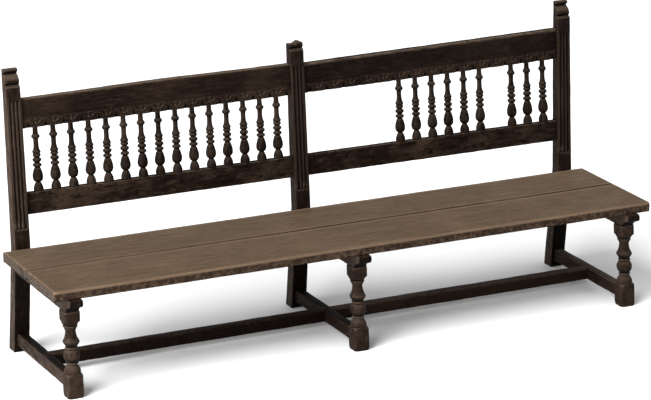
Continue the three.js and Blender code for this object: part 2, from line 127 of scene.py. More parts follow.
def moved(points, matrix):
    """Points turned and shifted by a matrix."""
    m = np.array(matrix)
    return points @ m[:3, :3].T + m[:3, 3]


def skin(rings, caps=True):
    """Points and faces of a skin over closed rings, with flat ends."""
    count, around = rings.shape[:2]
    rows = np.arange(count - 1)[:, None] * around
    here = np.arange(around)[None, :]
    after = (here + 1) % around
    quads = np.stack([rows + here, rows + after, rows + around + after, rows + around + here], axis=-1)
    faces = quads.reshape(-1, 4).tolist()
    if caps:
        faces.append(list(range(around))[::-1])
        faces.append(list(range((count - 1) * around, count * around)))
    return rings.reshape(-1, 3), faces


def fillet(corners, radii, segments=5):
    """A closed outline with its corners rounded."""
    outline = []
    total = len(corners)
    for i, (corner, radius) in enumerate(zip(corners, radii)):
        here = Vector(corner)
        before = (Vector(corners[i - 1]) - here).normalized()
        after = (Vector(corners[(i + 1) % total]) - here).normalized()
        if radius <= 0:
            outline.append(tuple(here))
            continue
        half = before.angle(after) / 2
        reach = radius / math.tan(half)
        start, end = here + before * reach, here + after * reach
        middle = here + (before + after).normalized() * (radius / math.sin(half))
        for k in range(segments + 1):
            spread = (start - middle).slerp(end - middle, k / segments).normalized()
            outline.append(tuple(middle + spread * radius))
    return outline


def even(outline, step):
    """The same outline with its long runs divided."""
    points = []
    for i, here in enumerate(outline):
        after = outline[(i + 1) % len(outline)]
        parts = max(1, round(math.dist(here, after) / step))
        for k in range(parts):
            points.append(tuple(a + (b - a) * k / parts for a, b in zip(here, after)))
    return points


def bow(start, control, end, count=7):
    """Points of a quadratic curve, its start left out."""
    points = []
    for k in range(1, count + 1):
        t = k / count
        shares = (1 - t) ** 2, 2 * t * (1 - t), t * t
        points.append(tuple(sum(share * point[axis] for share, point in zip(shares, (start, control, end)))
                            for axis in (0, 1)))
    return points


def prism(outline, start, end, step, arris):
    """Rings of an outline carried along an axis, with rounded end arrises: (along, u, v)."""
    shape = np.array(outline)
    ahead = np.roll(shape, -1, axis=0) - shape
    area = (shape[:, 0] * np.roll(shape[:, 1], -1) - np.roll(shape[:, 0], -1) * shape[:, 1]).sum()
    ahead /= np.linalg.norm(ahead, axis=1, keepdims=True) + 1e-12
    tangent = ahead + np.roll(ahead, 1, axis=0)
    outward = np.stack([tangent[:, 1], -tangent[:, 0]], axis=1) * (1 if area > 0 else -1)
    outward /= np.linalg.norm(outward, axis=1, keepdims=True) + 1e-12
    easing = [0.0, 0.12, 0.4, 1.0]
    count = max(2, round((end - start - 2 * arris) / step))
    inner = np.linspace(start + arris, end - arris, count + 1)
    along = [start + arris * e for e in easing[:-1]] + list(inner) + [end - arris * e for e in easing[-2::-1]]
    rings = []
    for s in along:
        depth = min(s - start, end - s, arris)
        inset = arris - math.sqrt(max(0.0, arris ** 2 - (arris - depth) ** 2))
        ring = shape - outward * inset
        rings.append(np.column_stack([np.full(len(ring), s), ring]))
    return np.array(rings)


def face_outwards(mesh, mend=False):
    """Turns a closed mesh the right way out, after closing its seams if asked."""
    shape = bmesh.new()
    shape.from_mesh(mesh)
    if mend:
        bmesh.ops.holes_fill(shape, edges=shape.edges, sides=0)
        bmesh.ops.recalc_face_normals(shape, faces=shape.faces)
    if shape.calc_volume(signed=True) < 0:
        bmesh.ops.reverse_faces(shape, faces=shape.faces)
    shape.to_mesh(mesh)
    shape.free()


def plain_mesh(name, points, faces):
    mesh = bpy.data.meshes.new(name)
    mesh.from_pydata(np.asarray(points).tolist(), [], faces)
    mesh.update()
    return mesh


def make_mesh(name, rings):
    """A closed mesh over rings, whose faces point outwards."""
    mesh = plain_mesh(name, *skin(rings))
    face_outwards(mesh)
    return mesh


def linked(name, data):
    """An object in the scene."""
    item = bpy.data.objects.new(name, data)
    bpy.context.scene.collection.objects.link(item)
    return item


def applied(item):
    """The plain mesh that an object's modifiers leave."""
    bpy.context.view_layer.update()
    ready = item.evaluated_get(bpy.context.evaluated_depsgraph_get())
    return bpy.data.meshes.new_from_object(ready)


def edge_bend(mesh, ease=2):
    """How sharply the surface bends at each vertex: over 0 on arrises, under 0 in hollows."""
    points, outward = coordinates(mesh), normals(mesh)
    ends = np.empty(len(mesh.edges) * 2, dtype=np.int32)
    mesh.edges.foreach_get("vertices", ends)
    a, b = ends.reshape(-1, 2).T
    run = points[b] - points[a]
    length = np.linalg.norm(run, axis=1) + 1e-9
    bend = ((outward[b] - outward[a]) * run).sum(axis=1) / length ** 2
    total, weight = np.zeros(len(points)), np.zeros(len(points))
    for end in (a, b):
        np.add.at(total, end, bend)
        np.add.at(weight, end, 1.0)
    value = total / np.maximum(weight, 1)
    for _ in range(ease):
        spread, share = value * 1.0, np.ones(len(points))
        np.add.at(spread, a, value[b])
        np.add.at(spread, b, value[a])
        np.add.at(share, a, 1.0)
        np.add.at(share, b, 1.0)
        value = spread / share
    return value


def weather(mesh, swell, chips, size, seed, along=(1, 1, 1)):
    """Years of use: a surface that is no longer flat, and arrises bruised and worn back."""
    points, outward = coordinates(mesh), normals(mesh)
    convex = np.tanh(np.maximum(edge_bend(mesh), 0) * 4 * MM)
    shift = Vector((seed * 1.37, seed * 2.11, seed * 0.73))
    push = np.empty(len(points))
    for i, point in enumerate(points):
        place = Vector(point * along) / size + shift
        push[i] = swell * noise.fractal(place, 0.9, 2.0, 3)
        if convex[i] > 0.05:
            bruise = noise.noise(place * 2.3) + 0.35 * noise.noise(place * 7.1)
            push[i] -= chips * convex[i] * (0.45 + max(0.0, bruise) * 1.6)
    mesh.vertices.foreach_set("co", (points + outward * push[:, None]).astype(np.float32).ravel())
    mesh.update()


def finish(mesh, materials, replaced, sharp=42, ease=2):
    """Turns a mesh into a finished piece: its shading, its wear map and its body."""
    for material in materials:
        mesh.materials.append(material)
    mesh.polygons.foreach_set("use_smooth", [True] * len(mesh.polygons))
    mesh.set_sharp_from_angle(angle=math.radians(sharp))
    wear = 0.5 + 0.5 * np.tanh(edge_bend(mesh, ease) * 3 * MM)
    layer = mesh.attributes.new("wear", "FLOAT", "POINT")
    layer.data.foreach_set("value", wear.astype(np.float32))
    piece = linked(mesh.name, mesh)
    if replaced:
        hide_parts(*replaced)
    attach(piece, BODY)
    return piece


def cut(mesh, cutter_mesh):
    """The mesh with another closed mesh taken out of it."""
    body, cutter = linked("cut_body", mesh), linked("cut_tool", cutter_mesh)
    change = body.modifiers.new("cut", "BOOLEAN")
    change.operation = "DIFFERENCE"
    change.solver = "EXACT"
    change.object = cutter
    result = applied(body)
    for item in (body, cutter):
        bpy.data.objects.remove(item)
    name = mesh.name
    for old in (mesh, cutter_mesh):
        bpy.data.meshes.remove(old)
    result.name = name
    return result


def rods(specs, sides=14):
    """Closed round rods as one mesh: (centre of the start, direction, radius, length)."""
    shape = bmesh.new()
    for start, direction, radius, length in specs:
        turn = Vector((0, 0, 1)).rotation_difference(Vector(direction).normalized()).to_matrix().to_4x4()
        place = Matrix.Translation(start) @ turn @ Matrix.Translation((0, 0, length / 2))
        bmesh.ops.create_cone(shape, cap_ends=True, segments=sides, radius1=radius, radius2=radius,
                              depth=length, matrix=place)
    mesh = bpy.data.meshes.new("rods")
    shape.to_mesh(mesh)
    shape.free()
    return mesh


def turned(name, heights, radii, around):
    """A piece turned on z, closed at both ends."""
    angles = np.linspace(0, 2 * math.pi, around, endpoint=False)
    rings = [np.column_stack([radius * np.cos(angles), radius * np.sin(angles), np.full(around, height)])
             for height, radius in zip(heights, radii)]
    return make_mesh(name, np.array(rings))


def soft_profile(pairs, step, blur):
    """A profile with its steps eased, as a worn turning is: heights and radii."""
    heights = np.arange(pairs[0][0], pairs[-1][0] + step / 2, step)
    radii = np.interp(heights, [h for h, _ in pairs], [r for _, r in pairs])
    reach = np.arange(-4, 5) * step
    weights = np.exp(-(reach / blur) ** 2)
    padded = np.pad(radii, 4, mode="edge")
    eased = np.convolve(padded, weights / weights.sum(), mode="valid")
    return heights, eased


# ---- Materials ---------------------------------------------------------------------------


class Nodes:
    """Builds a material's nodes in order."""

    def __init__(self, name):
        self.material = bpy.data.materials.new(name)
        self.material.use_nodes = True
        self.tree = self.material.node_tree
        self.tree.nodes.clear()

    def feed(self, socket, value):
        """Links a socket to another, or sets its value."""
        if isinstance(value, bpy.types.NodeSocket):
            self.tree.links.new(value, socket)
        else:
            socket.default_value = value

    def add(self, kind, settings=(), **inputs):
        node = self.tree.nodes.new(kind)
        for key, value in dict(settings).items():
            setattr(node, key, value)
        for key, value in inputs.items():
            self.feed(node.inputs[key.replace("_", " ")], value)
        return node

    def coordinates(self, scale=(1, 1, 1), shift=(0, 0, 0)):
        place = self.add("ShaderNodeTexCoord").outputs["Object"]
        return self.add("ShaderNodeMapping", Vector=place, Location=shift, Scale=scale).outputs["Vector"]

    def noise(self, vector, scale, detail=4.0, roughness=0.55, distortion=0.0):
        node = self.add("ShaderNodeTexNoise", Vector=vector, Scale=scale, Detail=detail,
                        Roughness=roughness, Distortion=distortion)
        return node.outputs["Fac"]

    def span(self, value, low_in, high_in, low_out=0.0, high_out=1.0):
        """A smooth step from one value to another."""
        node = self.add("ShaderNodeMapRange", {"interpolation_type": "SMOOTHSTEP"}, Value=value)
        for index, number in enumerate((low_in, high_in, low_out, high_out), start=1):
            node.inputs[index].default_value = number
        return node.outputs["Result"]

    def math(self, operation, a, b=0.0):
        node = self.add("ShaderNodeMath", {"operation": operation})
        self.feed(node.inputs[0], a)
        self.feed(node.inputs[1], b)
        return node.outputs["Value"]

    def times(self, *values):
        product = values[0]
        for value in values[1:]:
            product = self.math("MULTIPLY", product, value)
        return product

    def mix(self, factor, a, b):
        node = self.add("ShaderNodeMix", {"data_type": "RGBA", "blend_type": "MIX"})
        self.feed(node.inputs[0], factor)
        for index, tone in ((6, a), (7, b)):
            self.feed(node.inputs[index], tone if isinstance(tone, bpy.types.NodeSocket) else (*tone, 1.0))
        return node.outputs[2]

    def surface(self, base, roughness, specular, metallic=0.0, height=None, strength=0.0, depth=0.0):
        """Ends the material in its surface and returns it."""
        shader = self.add("ShaderNodeBsdfPrincipled", Base_Color=base, Roughness=roughness,
                          Specular_IOR_Level=specular, Metallic=metallic)
        if height is not None:
            bump = self.add("ShaderNodeBump", Height=height, Strength=strength, Distance=depth)
            self.feed(shader.inputs["Normal"], bump.outputs["Normal"])
        self.add("ShaderNodeOutputMaterial", Surface=shader.outputs["BSDF"])
        return self.material


def aged_oak(name, grain, tones, figure=1.0, patchy=0.6, mottle=0.5, pits=0.0, rubbing=0.8, rub=(0.57, 0.85),
             dust_and_top_light=0.0, darker_top=0.0, under=0.0, recess=0.0, painted_front_shade=None, painted_left_light=None, seam=None):
    """Old oak: streaked grain and pores along one axis, stains, worn arrises, dirt in the hollows, and painted
    light and shade on faces by the way they face.

    figure scales the grain; patchy, mottle and pits are how strong the patches, stains and holes are.
    rubbing is how pale arrises get, over the range of wear rub. dust_and_top_light pales what faces up, with
    dust specks and a painted highlight. darker_top darkens what faces up: painted shade from the seat on the
    stretchers, and a darker top face on the rails. under darkens what faces down, as painted shade. recess is
    how far behind a rail's face the colour turns dark. painted_front_shade is the tone of the painted shade on
    what faces forwards, the height it is full at and the height it ends at. painted_left_light is how far what
    faces left is paled, as painted light, with the same two heights. seam is the y of a joint.
    """
    dark, middle, light, worn, grime = tones
    nodes = Nodes(name)
    span, times, noise_at = nodes.span, nodes.times, nodes.noise
    fine, hair, tooled = ([1.0 if axis == grain else squeeze for axis in "XYZ"] for squeeze in (26.0, 60.0, 3.2))
    plain = nodes.coordinates()
    streaks = noise_at(nodes.coordinates(fine), 5.5 * figure, 7.0, 0.62, 0.35)
    pores = noise_at(nodes.coordinates(hair), 11.0 * figure, 3.0, 0.6)
    patches = noise_at(plain, 4.0, 4.0, 0.6)
    stains = noise_at(nodes.coordinates(tooled), 17.0, 6.0, 0.68, 0.6)
    specks = noise_at(plain, 190.0, 3.0, 0.6)
    normal = nodes.add("ShaderNodeNewGeometry").outputs["Normal"]
    facing, place = (nodes.add("ShaderNodeSeparateXYZ", Vector=vector).outputs for vector in (normal, plain))
    base = nodes.mix(span(streaks, 0.34, 0.66), dark, middle)
    base = nodes.mix(times(span(patches, 0.42, 0.68), patchy), base, light)
    base = nodes.mix(times(span(stains, 0.5, 0.64), mottle), base, dark)
    base = nodes.mix(times(span(stains, 0.46, 0.36), mottle * 0.7), base, light)
    base = nodes.mix(times(span(pores, 0.6, 0.72), 0.5), base, grime)
    # Painted light: what faces left is paled towards the worn tone, as if lit from the left.
    if painted_left_light:
        share, full, none = painted_left_light
        left_light = times(span(facing["X"], -0.6, -0.95), share, span(place["Z"], none, full))
        base = nodes.mix(times(left_light, span(stains, 0.35, 0.6, 1.0, 0.35)), base, worn)
    wear = nodes.add("ShaderNodeAttribute", {"attribute_name": "wear"}).outputs["Fac"]
    rubbed = times(span(wear, *rub), span(stains, 0.3, 0.6, 0.25, rubbing))
    if seam is not None:
        away = nodes.math("ABSOLUTE", nodes.math("SUBTRACT", place["Y"], seam))
        rubbed = times(rubbed, span(away, 8 * MM, 16 * MM))
    base = nodes.mix(rubbed, base, worn)
    base = nodes.mix(times(span(wear, 0.46, 0.28), 0.9), base, grime)
    # Painted shade: what faces forwards turns to a dark tone, fully below one height and not at all above another.
    if painted_front_shade:
        tone, full, none = painted_front_shade
        blotches = span(noise_at(plain, 70.0, 4.0, 0.7), 0.44, 0.6, 1.0, 0.6)
        base = nodes.mix(times(span(facing["Y"], -0.35, -0.8), blotches, span(place["Z"], none, full)), base, tone)
    # Dust specks, and a painted highlight on what faces up.
    if dust_and_top_light > 0:
        base = nodes.mix(times(span(facing["Z"], 0.3, 0.85), dust_and_top_light, span(specks, 0.3, 0.65, 0.5, 1.0)), base, worn)
    # What faces up turns darker: painted shade from the seat on the stretchers, and a darker top face on the
    # rails.
    if darker_top > 0:
        base = nodes.mix(times(span(facing["Z"], 0.86, 0.97), darker_top), base, grime)
    if pits > 0:
        base = nodes.mix(times(span(noise_at(plain, 75.0, 3.0, 0.7), 0.58, 0.66), pits), base, grime)
    # Painted shade on what faces down.
    if under > 0:
        base = nodes.mix(times(span(facing["Z"], -0.05, -0.5), under), base, grime)
    if recess > 0:
        back = times(nodes.math("SUBTRACT", place["Y"], POST_LINE), math.cos(RAKE))
        up = times(nodes.math("SUBTRACT", place["Z"], SEAT_TOP), math.sin(RAKE))
        start = RAIL_FRONT + recess
        base = nodes.mix(span(nodes.math("SUBTRACT", back, up), start, start + 2.5 * MM), base, grime)
    if seam is not None:
        near = times(span(away, 4.6 * MM, 2 * MM), span(place["X"], -1.25, 0.1, 0.45, 1.0))
        base = nodes.mix(times(near, span(stains, 0.25, 0.45, 0.55, 1.0)), base, grime)
    sheen = nodes.math("ADD", span(streaks, 0.3, 0.7, 0.52, 0.72), span(stains, 0.35, 0.7, -0.06, 0.08))
    height = nodes.math("ADD", times(streaks, 0.6), times(pores, -0.35))
    height = nodes.math("ADD", height, times(specks, 0.18))
    return nodes.surface(base, sheen, 0.05, height=height, strength=0.55, depth=1.2 * MM)


def end_grain(name, dark, light, grime):
    """The sawn end of a board: growth rings, radial checks and grey weathering."""
    nodes = Nodes(name)
    plain = nodes.coordinates()
    rings = nodes.add("ShaderNodeTexWave", {"wave_type": "RINGS", "rings_direction": "X"},
                      Vector=nodes.coordinates(shift=(0, 0.15, -0.30)), Scale=34.0, Distortion=5.0,
                      Detail=3.0, Detail_Scale=1.6).outputs["Fac"]
    rough_spots = nodes.noise(plain, 60.0, 6.0, 0.7)
    patches = nodes.noise(plain, 16.0, 4.0, 0.6)
    base = nodes.mix(nodes.span(rings, 0.2, 0.8, 0.1, 0.8), dark, light)
    base = nodes.mix(nodes.times(nodes.span(patches, 0.5, 0.66), 0.6), base, grime)
    base = nodes.mix(nodes.times(nodes.span(rough_spots, 0.54, 0.64), 0.7), base, grime)
    height = nodes.math("ADD", nodes.times(rings, 0.5), rough_spots)
    return nodes.surface(base, 0.85, 0.1, height=height, strength=0.8, depth=2 * MM)


def rusted_iron(name, dark, rust):
    nodes = Nodes(name)
    spots = nodes.noise(nodes.coordinates(), 400.0, 5.0, 0.65)
    base = nodes.mix(nodes.span(spots, 0.4, 0.65), dark, rust)
    return nodes.surface(base, 0.85, 0.5, metallic=0.4, height=spots, strength=0.8, depth=0.6 * MM)


# ---- Sizes and colours a user would change -----------------------------------------------


def length(name, description, default):
    return FloatProperty(name=name, description=description, default=default, min=0.0, unit="LENGTH",
                         subtype="DISTANCE", precision=4)


def colour(name, description, default):
    return FloatVectorProperty(name=name, description=description, default=default, size=3, min=0.0, max=1.0,
                               subtype="COLOR")


class BenchSizes(bpy.types.PropertyGroup):
    flute_width: length("Flute width", "Width of each groove down a post", 10.5 * MM)
    flute_depth: length("Flute depth", "Depth of each groove down a post", 5.5 * MM)
    flute_foot: length("Flute foot", "Where the grooves start above the seat, along the rake", 74 * MM)
    flute_drop: length("Flute drop", "Where the grooves end below the top of the tallest post", 133.8 * MM)
    post_arris: length("Post arris", "Rounding of the corners of a post", 2.6 * MM)
    nose_radius: length("Seat nose", "Worn front arris of the seat", 11 * MM)
    band_height: length("Carved band", "Height of the carved band of a crest rail", 37 * MM)
    rail_chamfer: length("Rail chamfer", "Worn top front edge of a back rail", 4 * MM)
    swell: length("Swell", "How far a face has moved from flat", 0.7 * MM)
    chips: length("Bruises", "How far an arris has worn back", 1.3 * MM)
    seed: IntProperty(name="Seed", description="Changes where the wear falls", default=3, min=0)


class BenchColours(bpy.types.PropertyGroup):
    back_dark: colour("Back, dark", "Dark grain of the posts, rails and spindles", (0.0036, 0.0016, 0.0010))
    back_middle: colour("Back, middle", "Main colour of the posts, rails and spindles", (0.0130, 0.0066, 0.0040))
    back_light: colour("Back, light", "Paler patches of the back", (0.0340, 0.0215, 0.0140))
    # Also the tone of the painted light on what faces left and of the painted highlight on what faces up.
    back_worn: colour("Back, worn", "Rubbed arrises of the back", (0.0900, 0.0640, 0.0460))
    seat_dark: colour("Seat, dark", "Dark grain of the seat", (0.0720, 0.0480, 0.0300))
    seat_middle: colour("Seat, middle", "Main colour of the seat", (0.1080, 0.0735, 0.0465))
    seat_light: colour("Seat, light", "Paler patches of the seat", (0.1400, 0.0990, 0.0650))
    seat_worn: colour("Seat, worn", "Rubbed front arris of the seat", (0.1700, 0.1130, 0.0750))
    leg_dark: colour("Leg, dark", "Dark grain of the legs and stretchers", (0.0080, 0.0042, 0.0027))
    leg_middle: colour("Leg, middle", "Main colour of the legs and stretchers", (0.0200, 0.0112, 0.0072))
    leg_light: colour("Leg, light", "Paler patches of the legs", (0.0380, 0.0240, 0.0165))
    # Also the tone of the painted highlight on what faces up.
    leg_worn_and_lit: colour("Leg, worn", "Rubbed arrises of the legs", (0.0850, 0.0610, 0.0460))
    # Also the tone of the painted shade on what faces down, on the stretchers' tops and on the posts' fronts below
    # the seat.
    grime: colour("Grime", "Dirt in pores and hollows", (0.0016, 0.0009, 0.0006))
    end_light: colour("End grain", "Grey of the sawn ends", (0.0850, 0.0680, 0.0530))
    iron: colour("Iron", "Old nails", (0.020, 0.014, 0.011))
    rust: colour("Rust", "Rust on the nails", (0.060, 0.026, 0.014))
    floor: colour("Floor", "Pale floor", (0.92, 0.92, 0.92))


def sizes():
    return bpy.context.scene.bench_sizes


def colours():
    return bpy.context.scene.bench_colours


def shaded(tones, share):
    """The same tones, darker."""
    return [[value * share for value in tone] for tone in tones]


def oaks(c):
    """Every oak by name: the axis of its grain, its tones, and what sets it apart."""
    back = (c.back_dark, c.back_middle, c.back_light, c.back_worn, c.grime)
    seat = (c.seat_dark, c.seat_middle, c.seat_light, c.seat_worn, c.grime)
    leg = (c.leg_dark, c.leg_middle, c.leg_light, c.leg_worn_and_lit, c.grime)
    # Painted shade: darker tones for the right crest rail, further from the light on the left.
    behind = (*shaded(back[:3], 0.62), c.back_worn, c.grime)
    # In these oaks, dust on what faces up comes with a painted highlight there; what faces down gets painted
    # shade; what faces forwards below a set height gets painted shade; and the stretchers' tops get painted shade
    # from the seat.
    post = dict(patchy=0.35, pits=0.4, rubbing=0.5, dust_and_top_light=0.95, under=1.0,
                painted_front_shade=(c.grime, SEAT_BOTTOM - 60 * MM, SEAT_BOTTOM))
    return {
        # The left post: painted light on what faces left, all the way up.
        "left_post_oak": ("Z", back, dict(post, painted_left_light=(0.42, 2 * POST_TALLEST, 3 * POST_TALLEST))),
        # The middle and right posts: darker tones as painted shade, and painted light on what faces left below the
        # seat only.
        "fluted_post_oak": ("Z", shaded(back, 0.78), dict(post, painted_left_light=(0.6, SEAT_BOTTOM - 40 * MM, SEAT_BOTTOM))),
        "crest_oak": ("X", back, dict(patchy=0.3, pits=0.6, dust_and_top_light=0.9, rubbing=1.0, rub=(0.54, 0.7))),
        "right_crest_oak": ("X", behind, dict(patchy=0.3, pits=0.6, darker_top=0.8, rubbing=1.0, rub=(0.52, 0.62))),
        "lower_rail_oak": ("X", back, dict(figure=1.4, patchy=0.9, mottle=1.0, pits=0.8, darker_top=0.6)),
        "carved_oak": ("X", back, dict(pits=0.3, rubbing=1.0, dust_and_top_light=0.8, recess=1.8 * MM)),
        "spindle_oak": ("Z", shaded(back, 0.74), dict(patchy=0.8, mottle=0.8, rubbing=0.6, dust_and_top_light=0.5, under=0.6)),
        "seat_oak": ("X", seat, dict(figure=0.8, patchy=0.35, mottle=0.4, pits=0.3, rub=(0.52, 0.62), under=0.8,
                                     seam=SEAM,
                                     painted_front_shade=(c.leg_middle, SEAT_TOP - 13 * MM, SEAT_TOP - 7 * MM))),
        "turned_leg_oak": ("Z", leg, dict(mottle=0.7, pits=0.5, dust_and_top_light=0.6, under=0.75)),
        "bearer_oak": ("Y", leg, dict(mottle=0.8, pits=0.6, under=1.0,
                                      painted_front_shade=(c.back_dark, SEAT_BOTTOM, SEAT_TOP))),
        "left_stretcher_oak": ("Y", leg, dict(patchy=0.9, mottle=1.0, pits=0.8, darker_top=0.93)),
        # The middle side stretcher: the back's darker tones as painted shade under the seat.
        "side_stretcher_oak": ("Y", back, dict(patchy=0.2, mottle=0.6, pits=0.6, darker_top=0.9, rubbing=0.5,
                                               painted_front_shade=(c.grime, BEARER_BOTTOM, SEAT_BOTTOM))),
        "right_stretcher_oak": ("Y", leg, dict(mottle=0.8, pits=0.6, dust_and_top_light=0.7,
                                               painted_front_shade=(c.back_dark, SEAT_BOTTOM, SEAT_TOP))),
        "long_stretcher_oak": ("X", back, dict(patchy=0.3, mottle=0.6, pits=0.8, dust_and_top_light=0.12, rubbing=0.25,
                                               painted_front_shade=(c.back_dark, BEARER_BOTTOM, SEAT_BOTTOM))),
        # The right bay's long stretcher: paler tones than the left bay's, as painted light.
        "right_long_oak": ("X", leg, dict(mottle=0.8, pits=0.6, dust_and_top_light=0.6,
                                          painted_front_shade=(c.back_middle, SEAT_BOTTOM, SEAT_TOP))),
    }


def wood(kind):
    """One of the bench's materials, made when first asked for."""
    if kind in bpy.data.materials:
        return bpy.data.materials[kind]
    c = colours()
    ends = {"seat_end_grain": (c.leg_middle, c.end_light, c.leg_dark),
            "peg_oak": (c.seat_dark, c.seat_light, c.leg_dark),
            "pin_oak": (c.back_dark, c.back_light, c.grime)}
    if kind == "nail_iron":
        return rusted_iron(kind, c.iron, c.rust)
    if kind in ends:
        return end_grain(kind, *ends[kind])
    grain, tones, habits = oaks(c)[kind]
    return aged_oak(kind, grain, tones, **habits)


# ---- Copies along a row of points --------------------------------------------------------


def copies_tree():
    """Puts a copy of one piece on every point: leaning, spun by chance, stretched, worn, and joined up."""
    name = "Copies on points"
    if name in bpy.data.node_groups:
        return bpy.data.node_groups[name]
    tree = bpy.data.node_groups.new(name, "GeometryNodeTree")
    for title, kind, default in (("Geometry", "Geometry", None), ("Piece", "Object", None),
                                 ("Lean", "Rotation", None), ("Spin", "Float", 0.0), ("Wear", "Float", 0.0),
                                 ("Wear size", "Float", 40.0), ("Join distance", "Float", 0.00005),
                                 ("Wood", "Material", None)):
        item = tree.interface.new_socket(title, in_out="INPUT", socket_type=f"NodeSocket{kind}")
        if default is not None:
            item.default_value = default
    tree.interface.new_socket("Geometry", in_out="OUTPUT", socket_type="NodeSocketGeometry")
    nodes = {title: tree.nodes.new(kind) for title, kind in (
        ("start", "NodeGroupInput"), ("end", "NodeGroupOutput"), ("points", "GeometryNodeMeshToPoints"),
        ("piece", "GeometryNodeObjectInfo"), ("chance", "FunctionNodeRandomValue"),
        ("spin", "ShaderNodeCombineXYZ"), ("turn", "FunctionNodeEulerToRotation"),
        ("lean", "FunctionNodeRotateRotation"), ("stretch", "GeometryNodeInputNamedAttribute"),
        ("copies", "GeometryNodeInstanceOnPoints"), ("real", "GeometryNodeRealizeInstances"),
        ("merge", "GeometryNodeMergeByDistance"), ("place", "GeometryNodeInputPosition"),
        ("facing", "GeometryNodeInputNormal"), ("bumps", "ShaderNodeTexNoise"), ("centre", "ShaderNodeMath"),
        ("depth", "ShaderNodeMath"), ("push", "ShaderNodeVectorMath"), ("move", "GeometryNodeSetPosition"),
        ("paint", "GeometryNodeSetMaterial"))}
    nodes["chance"].data_type = "FLOAT"
    nodes["chance"].inputs["Seed"].default_value = 7
    nodes["lean"].rotation_space = "GLOBAL"
    nodes["stretch"].data_type = "FLOAT_VECTOR"
    nodes["stretch"].inputs["Name"].default_value = "stretch"
    nodes["centre"].operation = "SUBTRACT"
    nodes["centre"].inputs[1].default_value = 0.5
    nodes["depth"].operation = "MULTIPLY"
    nodes["push"].operation = "SCALE"
    for source, out, target, into in (
            ("start", "Geometry", "points", "Mesh"), ("start", "Piece", "piece", "Object"),
            ("points", "Points", "copies", "Points"), ("piece", "Geometry", "copies", "Instance"),
            ("start", "Spin", "chance", 3), ("chance", 1, "spin", "Z"), ("spin", "Vector", "turn", "Euler"),
            ("turn", "Rotation", "lean", "Rotation"), ("start", "Lean", "lean", "Rotate By"),
            ("lean", "Rotation", "copies", "Rotation"), ("stretch", "Attribute", "copies", "Scale"),
            ("copies", "Instances", "real", "Geometry"), ("real", "Geometry", "merge", "Geometry"),
            ("start", "Join distance", "merge", "Distance"), ("merge", "Geometry", "move", "Geometry"),
            ("place", "Position", "bumps", "Vector"), ("start", "Wear size", "bumps", "Scale"),
            ("bumps", "Fac", "centre", 0), ("centre", "Value", "depth", 0), ("start", "Wear", "depth", 1),
            ("facing", "Normal", "push", 0), ("depth", "Value", "push", "Scale"),
            ("push", "Vector", "move", "Offset"), ("move", "Geometry", "paint", "Geometry"),
            ("start", "Wood", "paint", "Material"), ("paint", "Geometry", "end", "Geometry")):
        tree.links.new(nodes[source].outputs[out], nodes[target].inputs[into])
    return tree


def copies(name, pattern, places, values, stretches=None):
    """A plain mesh of copies of one piece at the places."""
    row_mesh = plain_mesh(f"{name}_row", [tuple(place) for place in places], [])
    layer = row_mesh.attributes.new("stretch", "FLOAT_VECTOR", "POINT")
    layer.data.foreach_set("vector", np.ravel(stretches or [(1, 1, 1)] * len(places)))
    piece, row = linked(f"{name}_pattern", pattern), linked(f"{name}_row", row_mesh)
    change = row.modifiers.new("copies", "NODES")
    change.node_group = copies_tree()
    inputs = {item.name: item.identifier for item in change.node_group.interface.items_tree
              if item.in_out == "INPUT"}
    change[inputs["Piece"]] = piece
    for key, value in values.items():
        change[inputs[key]] = value
    result = applied(row)
    result.name = name
    row.modifiers.remove(change)
    for item in (piece, row):
        bpy.data.objects.remove(item)
    return result


# ---- Posts -------------------------------------------------------------------------------


def rise(z):
    """How far up the back a height is: 0 at the seat, 1 at the top of the tallest post."""
    return max(0.0, (z - SEAT_TOP) / (POST_TALLEST - SEAT_TOP))


def fall(z):
    """How far down a height is: 0 at the seat, 1 at the floor."""
    return max(0.0, (SEAT_TOP - z) / SEAT_TOP)


def post_front(z):
    return POST_LINE + RAKE_SLOPE * max(0.0, z - SEAT_TOP) + POST_FOOT_SETBACK * fall(z)


def post_back(z):
    above = POST_DEPTH_AT_SEAT + (POST_DEPTH_AT_TOP - POST_DEPTH_AT_SEAT) * rise(z)
    return post_front(z) + above + (POST_FOOT_DEPTH - above) * fall(z)


def post_half(z):
    return (POST_WIDTH + (POST_TOP_WIDTH - POST_WIDTH) * rise(z)) / 2


def scroll_setback(drop):
    """How far the carved top stands behind the front plane, below the top of its post."""
    top_roll = [(0, 22)] + bow((0, 22), (6, 14), (12, 19.5), 8)
    lower_roll = bow((24, 27), (30, 6), (50, 3), 12)
    pairs = top_roll + [(14.5, 25), (17, 29), (21, 29.5)] + lower_roll
    pairs += [(54, 5), (57, 9), (59, 12), (61.5, 12), (62.6, 5), (66, 4), (68, 1), (70, 0)]
    return np.interp(drop / MM, [p[0] for p in pairs], [p[1] for p in pairs]) * MM


